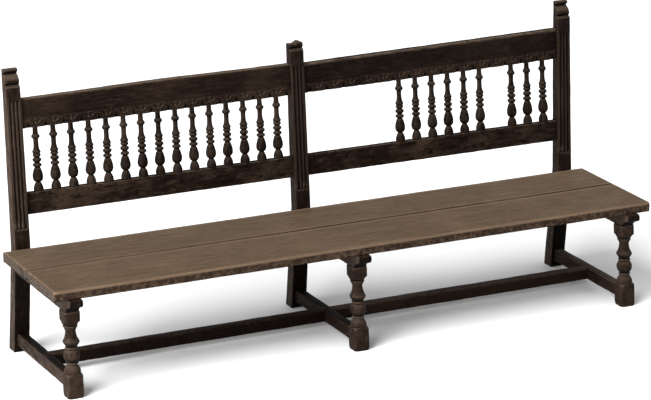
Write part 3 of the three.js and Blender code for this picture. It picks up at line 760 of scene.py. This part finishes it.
def post_ring(z, front, back, half, centre, flute, arris):
    """One slice of a post: three flutes in front, eased corners."""
    corners = []
    for k, (sx, sy) in enumerate(((-1, -1), (1, -1), (1, 1), (-1, 1))):
        cx = centre + sx * (half - arris)
        cy = (front + arris) if sy < 0 else (back - arris)
        turns = [math.pi + k * math.pi / 2 + math.radians(a) for a in (0, 22.5, 45, 67.5, 90)]
        corners.append([(cx + arris * math.cos(a), cy + arris * math.sin(a)) for a in turns])
    width, depth = flute
    flutes = []
    for share in (-0.25, 0.0, 0.25):
        middle = centre + share * 2 * half
        flutes.append((middle - width / 2 - 1.2 * MM, front))
        flutes += [(middle - width / 2 * math.cos(a), front + depth * math.sin(a))
                   for a in np.linspace(0, math.pi, 9)]
        flutes.append((middle + width / 2 + 1.2 * MM, front))
    deep, wide = back - front - 2 * arris, 2 * half - 2 * arris
    right = [(centre + half, front + arris + deep * k / 5) for k in range(1, 5)]
    rear = [(centre + half - arris - wide * k / 6, back) for k in range(1, 6)]
    left = [(centre - half, back - arris - deep * k / 5) for k in range(1, 5)]
    outline = corners[0] + flutes + corners[1] + right + corners[2] + rear + corners[3] + left
    return np.array([(x, y, z) for x, y in outline])


def shrunk(ring, share, drop):
    """A ring drawn in towards its middle and lowered."""
    middle = ring.mean(axis=0)
    smaller = middle + (ring - middle) * share
    smaller[:, 2] = ring[:, 2] - drop
    return smaller


def post_rings(side):
    size = sizes()
    top = (POST_TALLEST if side == "middle" else FRAME_TOP[side]) - TOP_WORN
    lean = RIGHT_LEAN if side == "right" else 0.0
    foot = SEAT_TOP + size.flute_foot * math.cos(RAKE)
    head = POST_TALLEST - size.flute_drop * math.cos(RAKE)
    runs = ((3 * MM, foot - 14 * MM, 9 * MM), (foot - 14 * MM, foot + 14 * MM, 2 * MM),
            (foot + 14 * MM, head - 14 * MM, 9 * MM), (head - 14 * MM, head + 6 * MM, 2 * MM),
            (head + 6 * MM, top - 74 * MM, 7 * MM), (top - 74 * MM, top + 0.1 * MM, 1.2 * MM))
    fade_out = 9 * MM
    rings = []
    for z in np.concatenate([np.arange(*run) for run in runs]):
        inside = min(z - foot, head - z)
        fade = math.sqrt(1 - (1 - min(max(inside / fade_out, 0.0), 1.0)) ** 2)
        x = FRAME_X[side] + lean * rise(z)
        front = post_front(z) + scroll_setback(top - z)
        flute = (size.flute_width, size.flute_depth * fade)
        rings.append(post_ring(z, front, post_back(z), post_half(z), x, flute, size.post_arris))
    first, last = rings[0], rings[-1]
    below = ((0.3, 3), (0.93, 3), (0.975, 2.2))
    above = ((0.98, -0.9), (0.93, -1.3), (0.7, -1.3), (0.5, -1.3), (0.3, -1.3), (0.1, -1.3))
    start = [shrunk(first, share, drop * MM) for share, drop in below]
    end = [shrunk(last, share, drop * MM) for share, drop in above]
    return np.array(start + rings + end)


def break_height(x, y, centre):
    """The torn top of the middle post: a low left half, a jagged step, and a taller right half."""
    across = (x - centre) / (POST_TOP_WIDTH / 2)
    step = 1 / (1 + math.exp(-(across - 0.05) * 22))
    jag = noise.fractal(Vector((x, y, 0.3)) * 95, 0.8, 2.0, 4)
    left = POST_TALLEST - 44 * MM
    right = POST_TALLEST - 35.5 * MM - 6 * MM * max(0.0, across - 0.6) / 0.4
    return left + (right - left) * step + jag * 2.2 * MM + (y - post_front(left)) * -0.05


def torn_rings(rings, centre):
    """The middle post's slices, broken off at the top."""
    lowest = POST_TALLEST - TORN_FROM
    kept = [ring for ring in rings if ring[0, 2] < lowest]
    base = kept[-1]
    nearest, furthest = base[:, 1].min(), base[:, 1].max()
    body = []
    for share in np.linspace(0.06, 1.0, 15):
        ring = base.copy()
        for i, (x, y, _) in enumerate(base):
            z = lowest + (break_height(x, y, centre) - lowest) * share
            front = post_front(z) + scroll_setback(POST_TALLEST - TOP_WORN - z)
            depth = (y - nearest) / (furthest - nearest)
            ring[i] = (x, front + (post_back(z) - front) * depth, z)
        body.append(ring)
    rim = body[-1]
    for share in (0.95, 0.82, 0.66, 0.5, 0.34, 0.18, 0.05):
        ring = shrunk(rim, share, 0)
        ring[:, 2] = [break_height(x, y, centre) for x, y, _ in ring]
        body.append(ring)
    return np.array(kept + body)


def post_mesh(side):
    rings = post_rings(side)
    if side == "middle":
        rings = torn_rings(rings, FRAME_X[side])
    return make_mesh(f"post_{side}", rings)


class BENCH_OT_posts(bpy.types.Operator):
    """Makes the fluted rear posts with their scroll tops"""
    bl_idname = "bench.posts"
    bl_label = "Rear posts"

    def execute(self, context):
        for k, side in enumerate(SIDES):
            mesh = post_mesh(side)
            weather(mesh, sizes().swell, sizes().chips * 0.8, 0.05, sizes().seed + k, (1, 1, 0.35))
            kind = "left_post_oak" if side == "left" else "fluted_post_oak"
            finish(mesh, [wood(kind)], [f"rear_post_{side}"])
        return {"FINISHED"}


# ---- Front legs --------------------------------------------------------------------------

FOOT_TOP = 94 * MM
HEAD_BOTTOM = 296 * MM
LEG_TURNING = [  # height above the floor and radius, in mm
    (60, 31.5), (97, 31.5), (99.5, 32.4), (103.5, 32.4), (105, 31), (107.5, 31.4), (110, 31), (117, 27),
    (127, 20.4), (128.2, 18), (130, 18), (131, 23.4), (133, 25), (135.2, 23.6), (136.4, 18.6), (138.4, 18.6),
    (140, 22), (144, 25.3), (153, 30.5), (163, 32.4), (173, 30.6), (181, 26.8), (186, 23.4), (187, 20.2),
    (189, 20.2), (190.2, 24.6), (193, 26), (195.8, 24.6), (197, 20.6), (199.2, 20.6), (201, 23.4), (204, 24.8),
    (209, 27.8), (213, 31), (217, 32.7), (221, 32.2), (224, 29.6), (225.5, 28.6), (228, 28.4), (229, 27),
    (233, 24.9), (239, 23.3), (248, 20.9), (258, 20), (266, 20.2), (267.5, 23), (270, 24), (272, 23),
    (273, 20.8), (274.2, 20.8), (275.4, 27), (278, 28.8), (281, 28.2), (282.4, 25.6), (284, 26), (288, 30),
    (293, 33), (340, 33),
]


def square_reach(angle, half, cut):
    """Distance from the middle of a square with cut corners to its side."""
    c, s = abs(math.cos(angle)), abs(math.sin(angle))
    return min(half / max(c, s), (2 * half - cut) / (c + s))


def leg_mesh(side):
    """A leg: the lathe's profile, cut off by the faces of its square blocks."""
    half, cut_off = LEG_HALF, 5.5 * MM
    flat = math.atan((half - cut_off) / half)
    quarter = list(np.linspace(-flat, flat, 16)) + [math.pi / 4 - 0.04, math.pi / 4 + 0.04]
    angles = [a + q * math.pi / 2 for q in range(4) for a in quarter]
    pairs = [(h * MM, r * MM) for h, r in LEG_TURNING]
    heights, radii = soft_profile(pairs, 1.0 * MM, 0.6 * MM)
    corner = math.hypot(half, half - cut_off)
    levels = [0, 1.5, 4, 9, *range(16, 76, 7), *range(80, 306), *range(307, 340, 4), 340]
    foot_x = FRAME_X[side]
    foot_y = low(f"front_leg_{side}").y + half / math.cos(math.atan(LEG_SPLAY / BEARER_BOTTOM))
    rings = []
    for level in levels:
        z = level * MM
        if z < FOOT_TOP:
            lathe = half + 1.2 * MM + (corner - half) * min(1.0, max(0.0, (FOOT_TOP - z) / (9 * MM))) ** 0.6
            lathe = min(lathe, corner - 3.5 * MM * math.exp(-z / (5 * MM)))
        elif z > HEAD_BOTTOM:
            lathe = half + 1.2 * MM + (corner - half) * min(1.0, (z - HEAD_BOTTOM) / (7 * MM)) ** 0.6
        else:
            lathe = np.interp(z, heights, radii)
        worn_foot = 1 - 0.03 * math.exp(-z / (4 * MM))
        y = foot_y + LEG_SPLAY * z / BEARER_BOTTOM
        reach = [min(lathe, square_reach(a, half, cut_off)) * worn_foot for a in angles]
        rings.append([(foot_x + r * math.cos(a), y + r * math.sin(a), z) for a, r in zip(angles, reach)])
    return make_mesh(f"leg_{side}", np.array(rings))


class BENCH_OT_legs(bpy.types.Operator):
    """Makes the turned front legs between their square blocks"""
    bl_idname = "bench.legs"
    bl_label = "Front legs"

    def execute(self, context):
        for k, side in enumerate(SIDES):
            mesh = leg_mesh(side)
            weather(mesh, sizes().swell * 0.8, sizes().chips * 0.7, 0.03, sizes().seed + 10 + k, (1, 1, 0.6))
            node = f"foot_nail_{side}"
            if node in NODES:
                nail = (low(node) + high(node)) / 2
                face = low(node).y
                rod = (Vector((nail.x, face - 9 * MM, nail.z)), (0.05, 1, -0.08), 4.4 * MM, 12.5 * MM)
                mesh = cut(mesh, rods([rod], 9))
                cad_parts[node].material_slots[0].material = wood("nail_iron")
            finish(mesh, [wood("turned_leg_oak")], [f"front_leg_{side}"], 36, 1)
        return {"FINISHED"}


# ---- Bearers and stretchers --------------------------------------------------------------


def bearer_mesh(side):
    """The rail under the seat, with a rolled nose over the leg."""
    bottom, top = BEARER_BOTTOM, high(f"bearer_{side}").z
    nose = low(f"bearer_{side}").y - 6 * MM
    hollow = low(f"front_leg_{side}").y + LEG_SPLAY + 1 * MM
    end = post_front(bottom) + 15 * MM
    lip, roll = bottom + 28 * MM, (nose, bottom + 44 * MM)
    shape = [(end, top), (end, bottom), (hollow, bottom)]
    shape += bow((hollow, bottom), (hollow - 1 * MM, bottom + 17 * MM), (nose + 16 * MM, lip - 1 * MM), 10)
    shape += bow((nose + 15 * MM, lip), (nose - 2 * MM, lip + 2 * MM), roll, 10)
    shape += bow(roll, (nose, top - 2 * MM), (nose + 14 * MM, top), 8)
    outline = even(shape, 12 * MM)
    return make_mesh(f"bearer_{side}_worn",
                     prism(outline, low(f"bearer_{side}").x, high(f"bearer_{side}").x, 5 * MM, 3.2 * MM))


def side_stretcher_mesh(side):
    """A side stretcher, with a scratched groove near one top arris."""
    node = f"side_stretcher_{side}"
    lo, hi = low(node), high(node)
    groove = 2.2 * MM
    corners = [(lo.x, lo.z), (hi.x, lo.z), (hi.x, hi.z), (lo.x + 9 * MM, hi.z), (lo.x + 7.5 * MM, hi.z - groove),
               (lo.x + 6 * MM, hi.z), (lo.x, hi.z)]
    radii = [2 * MM, 2 * MM, 3 * MM, 0, 0, 0, 3 * MM]
    outline = even(fillet(corners, radii), 7 * MM)
    rings = prism(outline, lo.y, hi.y, 9 * MM, 1 * MM)
    return make_mesh(f"{node}_worn", rings[:, :, [1, 0, 2]])


def long_stretcher_mesh(bay):
    """A long stretcher, chamfered along its top front arris."""
    node = f"long_stretcher_{bay}"
    lo, hi = low(node), high(node)
    chamfer = 8 * MM
    corners = [(lo.y, lo.z), (hi.y, lo.z), (hi.y, hi.z), (lo.y + chamfer, hi.z), (lo.y, hi.z - chamfer)]
    outline = even(fillet(corners, [2 * MM, 2 * MM, 2.5 * MM, 1.5 * MM, 1.5 * MM]), 7 * MM)
    return make_mesh(f"{node}_worn", prism(outline, lo.x, hi.x, 9 * MM, 1 * MM))


class BENCH_OT_bearers(bpy.types.Operator):
    """Makes the bearers with carved noses that carry the seat"""
    bl_idname = "bench.bearers"
    bl_label = "Bearers"

    def execute(self, context):
        for k, side in enumerate(SIDES):
            mesh = bearer_mesh(side)
            weather(mesh, sizes().swell * 1.3, sizes().chips * 1.4, 0.022, sizes().seed + 20 + k)
            finish(mesh, [wood("bearer_oak")], [f"bearer_{side}"])
        return {"FINISHED"}


class BENCH_OT_stretchers(bpy.types.Operator):
    """Makes the side and long stretchers near the floor"""
    bl_idname = "bench.stretchers"
    bl_label = "Stretchers"

    def execute(self, context):
        for k, side in enumerate(SIDES):
            mesh = side_stretcher_mesh(side)
            weather(mesh, sizes().swell, sizes().chips * 1.3, 0.04, sizes().seed + 30 + k, (1, 0.5, 1))
            kind = "side_stretcher_oak" if side == "middle" else f"{side}_stretcher_oak"
            finish(mesh, [wood(kind)], [f"side_stretcher_{side}"])
        for k, bay in enumerate(BAYS):
            mesh = long_stretcher_mesh(bay)
            weather(mesh, sizes().swell * 1.4, sizes().chips * 0.6, 0.05, sizes().seed + 40 + k, (0.4, 1, 1))
            kind = "right_long_oak" if bay == "right" else "long_stretcher_oak"
            finish(mesh, [wood(kind)], [f"long_stretcher_{bay}"])
        return {"FINISHED"}


# ---- Seat --------------------------------------------------------------------------------


SITTERS = (-0.62, -0.2, 0.25, 0.68)  # places of the hollows along the seat, in halves of its length
NICKS = ((0.045, 2.2, 3.0), (-0.42, 3.5, 2.0), (0.63, 3.0, 2.2), (-0.8, 4.0, 2.4))  # place, width and depth in mm


def board_mesh(board):
    """A seat board: worn front arris, shallow hollows where people sat, and a joint that closes at one end."""
    node = f"seat_board_{board}"
    lo, hi = low(node), high(node)
    is_front = board == "front"
    corners = [(lo.y, lo.z), (hi.y, lo.z), (hi.y, hi.z), (lo.y, hi.z)]
    radii = [1.5 * MM, 2 * MM, 2.5 * MM, 2.6 * MM]
    if is_front:
        radii = [3.5 * MM, 1.5 * MM, 2 * MM, sizes().nose_radius]
    rings = prism(even(fillet(corners, radii, 7), 16 * MM), lo.x, hi.x, 8 * MM, 3.5 * MM)
    half = hi.x
    seam = hi.y if is_front else lo.y
    for ring in rings:
        along = ring[0, 0] / half
        near = np.exp(-np.abs(ring[:, 1] - seam) / (12 * MM))
        ring[:, 1] += near * (-0.35 * MM - 0.95 * MM * along) * (1 if is_front else -1)
        above = (ring[:, 2] - lo.z) / (hi.z - lo.z)
        for middle in SITTERS:
            ring[:, 2] -= above * 0.9 * MM * math.exp(-((along - middle) / 0.16) ** 2)
        if is_front:
            front = np.exp(-np.abs(ring[:, 1] - lo.y) / (14 * MM))
            dent = noise.fractal(Vector((ring[0, 0] * 5, 0.4, 0.1)), 0.9, 2.0, 3)
            ring[:, 1] += front * (1.1 * MM + dent * 1.4 * MM)
            for nick, width, depth in NICKS:
                ring[:, 1] += front * depth * MM * math.exp(-((along - nick) * half / (width * MM)) ** 2)
    return make_mesh(f"{node}_worn", rings)


class BENCH_OT_seat(bpy.types.Operator):
    """Makes the two seat boards with their sawn ends"""
    bl_idname = "bench.seat"
    bl_label = "Seat boards"

    def execute(self, context):
        for k, board in enumerate(("front", "back")):
            mesh = board_mesh(board)
            weather(mesh, sizes().swell * 0.55, sizes().chips * 0.8, 0.05, sizes().seed + 50 + k, (0.4, 1, 1))
            for face in mesh.polygons:
                if abs(face.normal.x) > 0.75:
                    face.material_index = 1
            finish(mesh, [wood("seat_oak"), wood("seat_end_grain")], [f"seat_board_{board}"])
        return {"FINISHED"}


# ---- Back rails, carving and spindles ----------------------------------------------------


PLACES = 15  # for spindles in each bay
ANY_WAY = 6.28  # how far a copy may be spun about its own axis
Row = namedtuple("Row", "spans start pitch lost")


def spindle_row(bay):
    """The boxes of a bay's spindles by number, the place of the first, the pitch, and the numbers lost."""
    numbers = [int(name[-2:]) for name in NODES if name.startswith(f"spindle_{bay}_")]
    spans = {k: raked_box(f"spindle_{bay}_{k:02d}") for k in numbers}
    middle = {k: (lo[0] + hi[0]) / 2 for k, (lo, hi) in spans.items()}
    first, last = min(numbers), max(numbers)
    pitch = (middle[last] - middle[first]) / (last - first)
    lost = [k for k in range(1, PLACES + 1) if k not in numbers]
    return Row(spans, middle[first] - (first - 1) * pitch, pitch, lost)


def crest_slope(bay):
    """How fast the crest rail climbs to the right, from the tops of its spindles."""
    spans = spindle_row(bay).spans
    a, b = spans[min(spans)], spans[max(spans)]
    return (b[1][2] - a[1][2]) / (b[0][0] - a[0][0])


def crest_edges(bay, along):
    """How much lower and higher the old crest rail's two edges run than true, from its left end to its right."""
    drop, lift = {"left": ((4, 8), (0, 7)), "right": ((6, 9.5), (2, 6))}[bay]
    return np.interp(along, (0, 1), drop) * MM, np.interp(along, (0, 1), lift) * MM


def rail_shape(lo, hi, front_step):
    """Section of a back rail; front_step is a rebate (height, depth) at its lower front edge."""
    chamfer = sizes().rail_chamfer
    corners = [(RAIL_BACK, lo), (RAIL_BACK, hi), (RAIL_FRONT + chamfer, hi), (RAIL_FRONT, hi - chamfer)]
    radii = [1.5 * MM, 2 * MM, 1.5 * MM, 3 * MM]
    if front_step:
        height, depth = front_step
        corners += [(RAIL_FRONT, lo + height), (RAIL_FRONT + depth, lo + height), (RAIL_FRONT + depth, lo)]
        radii += [0, 0, 0]
    else:
        corners += [(RAIL_FRONT, lo)]
        radii += [2 * MM]
    return even(fillet(corners, radii), 6 * MM)


def rail_mesh(bay, rail):
    """A back rail with its edges moved by age and its empty mortises."""
    node = f"{rail}_rail_{bay}"
    lo, hi = raked_box(node)
    crest = rail == "crest"
    run = hi[0] - lo[0]
    slope = crest_slope(bay) if crest else 0.0
    climb = slope * run
    step = (sizes().band_height - 0.5 * MM, 8.8 * MM) if crest else None
    rings = prism(rail_shape(lo[2], hi[2] - climb, step), lo[0], hi[0], 7 * MM, 1 * MM)
    for ring in rings:
        from_left = ring[0, 0] - lo[0]
        ring[:, 2] += slope * from_left
        if crest:
            along = from_left / run
            drop, lift = crest_edges(bay, along)
            up = ring[:, 2] - lo[2] - slope * from_left
            reach = (0, sizes().band_height + 4 * MM, hi[2] - lo[2] - climb)
            ring[:, 2] += np.interp(up, reach, (-drop, -drop, lift))
            if bay == "left":
                above = np.clip((up - 50 * MM) / (50 * MM), 0, 1)
                ring[:, 2] += above * 4 * MM * math.exp(-((along - 0.5) / 0.2) ** 2)
    mesh = make_mesh(f"{node}_worn", rings)
    weather(mesh, sizes().swell, sizes().chips, 0.035, sizes().seed + 60 + len(node), (0.5, 1, 1))
    row = spindle_row(bay)
    if row.lost:
        mortises = []
        for k in row.lost:
            x = row.start + (k - 1) * row.pitch
            drop = crest_edges(bay, (x - lo[0]) / run)[0]
            edge = lo[2] + slope * (x - lo[0]) - 6 * MM - drop if crest else hi[2] - 13 * MM
            place = Vector((x, (RAIL_FRONT + RAIL_BACK) / 2, edge))
            mortises.append((place, (0.03 * (k % 3 - 1), 0, 1), 7.8 * MM, 19 * MM))
        mesh = cut(mesh, rods(mortises))
    mesh.transform(BACK)
    return mesh


def hill(x, width):
    """A smooth bump around 0."""
    return np.exp(-(x / width) ** 2)


def step_up(x, a, b):
    """A smooth step from 0 at a to 1 at b."""
    t = np.clip((x - a) / (b - a), 0, 1)
    return t * t * (3 - 2 * t)


def carving_height(x, y, pitch, height):
    """Relief of one repeat over the plain face; all in mm.

    x runs from the middle of an arch and y up from the lower edge. Each repeat is an arch with a
    ribbed crown, two dark notches under it, and a small flower of two petals beside it.
    """
    r = np.sqrt((x / 29.0) ** 2 + (np.maximum(y - 1.0, 0) / 27.5) ** 2)
    off = (r - 1) * 28.0
    crown = step_up(y, 13.0, 22.0)
    inner = -1.5 * step_up(-off, 0.5, 3.0)
    side = pitch / 2 - np.abs(x)
    outer = -2.6 * step_up(off, 1.2, 3.2) * (1 - step_up(y, height - 4.0, height - 1.2))
    outer *= 1 - step_up(side, 14.0, 20.0)
    relief = inner + outer + 2.8 * hill(off + 0.4, 2.4) * crown
    relief += 1.0 * hill((r - 0.66) * 28, 2.4) * crown
    reach = np.abs(x - 6.4)
    pit = step_up(9.0 * (1 - y / 21.0) - reach, -1.0, 1.2) * (y < 21)
    relief -= 6.5 * pit
    sx = np.where(x > 0, x - pitch / 2, x + pitch / 2)
    for lean in (-1, 1):
        a = math.radians(60) * lean
        px, py = sx - lean * 4.8, y - 29.0
        u, v = px * math.cos(a) + py * math.sin(a), -px * math.sin(a) + py * math.cos(a)
        relief += 2.6 * np.exp(-((u / 1.9) ** 2 + (v / 4.8) ** 2) ** 1.5)
    relief += 2.6 * np.exp(-((sx / 3.0) ** 2 + ((y - 21.0) / 2.6) ** 2) ** 1.5)
    relief += 3.0 * np.exp(-((sx / 8.0) ** 4 + ((y - 14.5) / 2.0) ** 4))
    relief -= 1.2 * (1 - step_up(y, 0.0, 1.5))
    return np.minimum(relief, 1.5) - 0.4 * step_up(y, height - 1.5, height)


CARVING_BACK = 8.7 * MM  # of a tile, behind the rail's face


def carving_tile(pitch):
    """One repeat of the carved band as a tube open at its two ends."""
    height = sizes().band_height / MM
    xs = np.linspace(-pitch / 2, pitch / 2, 47) / MM
    ys = np.linspace(0, height, 25)
    rings = []
    for x in xs:
        relief = carving_height(np.full(len(ys), x), ys, pitch / MM, height)
        front = [(x * MM, -h * MM, y * MM) for y, h in zip(ys, relief)]
        rings.append(front + [(x * MM, CARVING_BACK, height * MM), (x * MM, CARVING_BACK, 0)])
    return plain_mesh("carving_repeat", *skin(np.array(rings), caps=False))


def carving_mesh(bay):
    """A bay's carved band: one repeat on every point between the spindles."""
    row = spindle_row(bay)
    lo, hi = raked_box(f"crest_rail_{bay}")
    slope = crest_slope(bay)
    into_posts = 28 * MM
    places = []
    for k in range(PLACES + 1):
        x = row.start + (k - 0.5) * row.pitch
        if x - row.pitch / 2 > lo[0] - into_posts and x + row.pitch / 2 < hi[0] + into_posts:
            drop = crest_edges(bay, (x - lo[0]) / (hi[0] - lo[0]))[0]
            places.append(BACK @ Vector((x, RAIL_FRONT, lo[2] + slope * (x - lo[0]) - drop)))
    lean = (BACK.to_3x3() @ Matrix.Rotation(-math.atan(slope), 3, "Y")).to_euler()
    values = {"Lean": lean, "Wear": 1.1 * MM, "Wear size": 85.0, "Wood": wood("carved_oak")}
    mesh = copies(f"crest_carving_{bay}", carving_tile(row.pitch), places, values)
    face_outwards(mesh, mend=True)
    return mesh


SPINDLE_TURNING = [  # height above the lower rail and radius, in mm
    (-12, 7.5), (0, 7.5), (0.2, 18.4), (2, 19.4), (8, 19.8), (14, 19), (20, 17.2), (26, 14.8), (31, 12.4),
    (33, 10.2), (36, 10.2), (38, 14.2), (42, 17.6), (48, 20), (55, 21), (62, 20.6), (69, 19.4), (76, 17.6),
    (83, 15.6), (89, 13.8), (92, 10.8), (95.5, 10.8), (98, 16), (103.3, 18.2), (108, 16), (110, 10.8),
    (115, 10.8), (118, 15.8), (124, 18), (129.5, 16), (131.5, 10.8), (135, 10.8), (137, 14.4), (142.9, 16.6),
    (146.5, 14.6), (148, 12.6), (149.5, 14.8), (155.6, 17), (159.5, 15.8), (163, 13), (171.4, 11.2),
    (180.4, 10), (198.5, 9.8), (206, 10.4), (209, 11.2), (210.5, 14.6), (214, 16.2), (217.9, 16.8),
    (221.5, 15.4), (224.5, 12.6), (228, 11), (236, 10.2), (245, 10), (271, 9.6),
]


def spindles_mesh(bay):
    """A bay's spindles, each stretched to reach between its rails."""
    tenon = 12 * MM
    full = 271 * MM + tenon
    places, stretches = [], []
    for lo, hi in spindle_row(bay).spans.values():
        scale = (hi[2] - lo[2]) / full
        places.append(BACK @ Vector(((lo[0] + hi[0]) / 2, (lo[1] + hi[1]) / 2, lo[2] + tenon * scale)))
        stretches.append((1, 1, scale))
    values = {"Lean": Euler((-RAKE, 0, 0)), "Spin": ANY_WAY, "Wear": 1.1 * MM, "Wear size": 62.0,
              "Join distance": 0.00001, "Wood": wood("spindle_oak")}
    heights, radii = soft_profile([(h * MM, r * MM) for h, r in SPINDLE_TURNING], 1.3 * MM, 0.9 * MM)
    pattern = turned("spindle_pattern", heights, radii, 20)
    return copies(f"spindles_{bay}", pattern, places, values, stretches)


class BENCH_OT_rails(bpy.types.Operator):
    """Makes the lower rails and the crest rails of the back"""
    bl_idname = "bench.rails"
    bl_label = "Back rails"

    def execute(self, context):
        for bay in BAYS:
            crest = "right_crest_oak" if bay == "right" else "crest_oak"
            for rail, kind in (("lower", "lower_rail_oak"), ("crest", crest)):
                finish(rail_mesh(bay, rail), [wood(kind)], [f"{rail}_rail_{bay}"])
        return {"FINISHED"}


class BENCH_OT_carving(bpy.types.Operator):
    """Makes the carved band along the lower edge of each crest rail"""
    bl_idname = "bench.carving"
    bl_label = "Carved bands"

    def execute(self, context):
        for bay in BAYS:
            finish(carving_mesh(bay), [], [], 60)
        return {"FINISHED"}


class BENCH_OT_spindles(bpy.types.Operator):
    """Makes the turned spindles of the two bays"""
    bl_idname = "bench.spindles"
    bl_label = "Spindles"

    def execute(self, context):
        for bay in BAYS:
            nodes = [name for name in NODES if name.startswith(f"spindle_{bay}_")]
            finish(spindles_mesh(bay), [], nodes, 50, 1)
        return {"FINISHED"}


# ---- Pegs --------------------------------------------------------------------------------


def whittled_peg(radius, length_down, proud):
    """A peg split and whittled by hand: a rough many-sided head, slightly domed."""
    turns = [2 * math.pi * k / 18 for k in range(18)]
    heads = [radius * (1 - 0.07 * abs(math.sin(3.5 * a + 0.4))) for a in turns]
    levels = ((1.0, -length_down), (1.0, 0.0), (0.97, proud * 0.6), (0.75, proud), (0.3, proud * 1.15))
    rings = [[(share * r * math.cos(a), share * r * math.sin(a), height) for a, r in zip(turns, heads)]
             for share, height in levels]
    return make_mesh("peg_pattern", np.array(rings))


class BENCH_OT_pegs(bpy.types.Operator):
    """Makes the seat pegs and the draw pins of the back rails"""
    bl_idname = "bench.pegs"
    bl_label = "Pegs and pins"

    def execute(self, context):
        seat = [name for name in NODES if name.startswith("seat_peg_")]
        middles = [(low(name) + high(name)) / 2 for name in seat]
        places = [Vector((m.x, m.y, SEAT_TOP - 0.6 * MM)) for m in middles]
        values = {"Spin": ANY_WAY, "Wear": 0.5 * MM, "Wear size": 120.0, "Wood": wood("peg_oak")}
        radius = (high(seat[0]).x - low(seat[0]).x) / 2
        mesh = copies("seat_pegs", whittled_peg(radius, 30 * MM, 0.9 * MM), places, values)
        finish(mesh, [], seat)
        pins = [name for name in NODES if name.startswith("rail_pin_")]
        boxes = [raked_box(name) for name in pins]
        places = [BACK @ Vector(((lo[0] + hi[0]) / 2, hi[1] + 0.8 * MM, (lo[2] + hi[2]) / 2)) for lo, hi in boxes]
        values = {"Lean": Euler((-math.pi / 2 - RAKE, 0, 0)), "Spin": ANY_WAY, "Wear": 0.4 * MM,
                  "Wear size": 120.0, "Wood": wood("pin_oak")}
        mesh = copies("rail_pins", whittled_peg(4.2 * MM, 20 * MM, 1.2 * MM), places, values)
        finish(mesh, [], pins)
        return {"FINISHED"}


# ---- Stage -------------------------------------------------------------------------------


CAMERA = (-5.2491, -10.8300, 4.2541)
CAMERA_TURN = [math.radians(angle) for angle in (25.794, 17.162, -0.114)]  # yaw, pitch and roll
CAMERA_LENS = 174.49


def aimed(item, direction):
    item.rotation_euler = Vector(direction).to_track_quat("-Z", "Y").to_euler()


class BENCH_OT_stage(bpy.types.Operator):
    """Makes the pale floor, the soft lights and the camera"""
    bl_idname = "bench.stage"
    bl_label = "Stage"

    def execute(self, context):
        scene = context.scene
        corners = [(x, y, 0) for x, y in ((-30, -30), (30, -30), (30, 30), (-30, 30))]
        mesh = plain_mesh("floor", corners, [(0, 1, 2, 3)])
        nodes = Nodes("pale_floor")
        grain = nodes.noise(nodes.coordinates(), 3.0, 2.0)
        tone = colours().floor
        soft = nodes.mix(nodes.span(grain, 0.3, 0.7, 0.0, 0.3), tone, [v * 0.99 for v in tone])
        mesh.materials.append(nodes.surface(soft, 0.95, 0.0))
        linked("floor", mesh)
        world = bpy.data.worlds.new("studio")
        world.use_nodes = True
        world.node_tree.nodes["Background"].inputs["Color"].default_value = (1, 1, 1, 1)
        world.node_tree.nodes["Background"].inputs["Strength"].default_value = 0.6
        scene.world = world
        sun = bpy.data.lights.new("window", "SUN")
        sun.energy, sun.angle = 3.8, math.radians(35)
        aimed(linked("window", sun), (0.66, 0.28, -0.70))
        box = bpy.data.lights.new("left_softbox", "AREA")
        box.shape = "RECTANGLE"
        box.size, box.size_y, box.energy = 2.2, 2.0, 190
        softbox = linked("left_softbox", box)
        softbox.location = (-4.2, -1.9, 1.3)
        aimed(softbox, (3.6, 1.9, -0.8))
        scene.view_settings.view_transform = "Standard"
        lens = bpy.data.cameras.new("view")
        lens.sensor_width = 36.0
        lens.lens = CAMERA_LENS
        lens.clip_end = 200
        yaw, pitch, roll = CAMERA_TURN
        turn = Matrix.Rotation(-yaw, 4, "Z") @ Matrix.Rotation(math.pi / 2 - pitch, 4, "X")
        scene.camera = linked("view", lens)
        scene.camera.matrix_world = Matrix.Translation(CAMERA) @ turn @ Matrix.Rotation(roll, 4, "Z")
        return {"FINISHED"}


class BENCH_PT_panel(bpy.types.Panel):
    """Lists the bench's pieces, sizes and colours"""
    bl_idname = "BENCH_PT_panel"
    bl_label = "Church bench"
    bl_space_type = "VIEW_3D"
    bl_region_type = "UI"
    bl_category = "Bench"

    def draw(self, context):
        for operator in OPERATORS:
            self.layout.operator(operator.bl_idname)
        for group in (context.scene.bench_sizes, context.scene.bench_colours):
            box = self.layout.box()
            for key in group.__annotations__:
                box.prop(group, key)


OPERATORS = (BENCH_OT_stage, BENCH_OT_posts, BENCH_OT_legs, BENCH_OT_bearers, BENCH_OT_stretchers, BENCH_OT_seat,
             BENCH_OT_rails, BENCH_OT_carving, BENCH_OT_spindles, BENCH_OT_pegs)
CLASSES = (BenchSizes, BenchColours, *OPERATORS, BENCH_PT_panel)


def register():
    for item in CLASSES:
        bpy.utils.register_class(item)
    bpy.types.Scene.bench_sizes = PointerProperty(type=BenchSizes)
    bpy.types.Scene.bench_colours = PointerProperty(type=BenchColours)


def unregister():
    del bpy.types.Scene.bench_colours
    del bpy.types.Scene.bench_sizes
    for item in reversed(CLASSES):
        bpy.utils.unregister_class(item)


def main():
    register()
    for operator in OPERATORS:
        group, name = operator.bl_idname.split(".")
        getattr(getattr(bpy.ops, group), name)()
    bpy.context.view_layer.update()


if __name__ == "__main__":
    main()
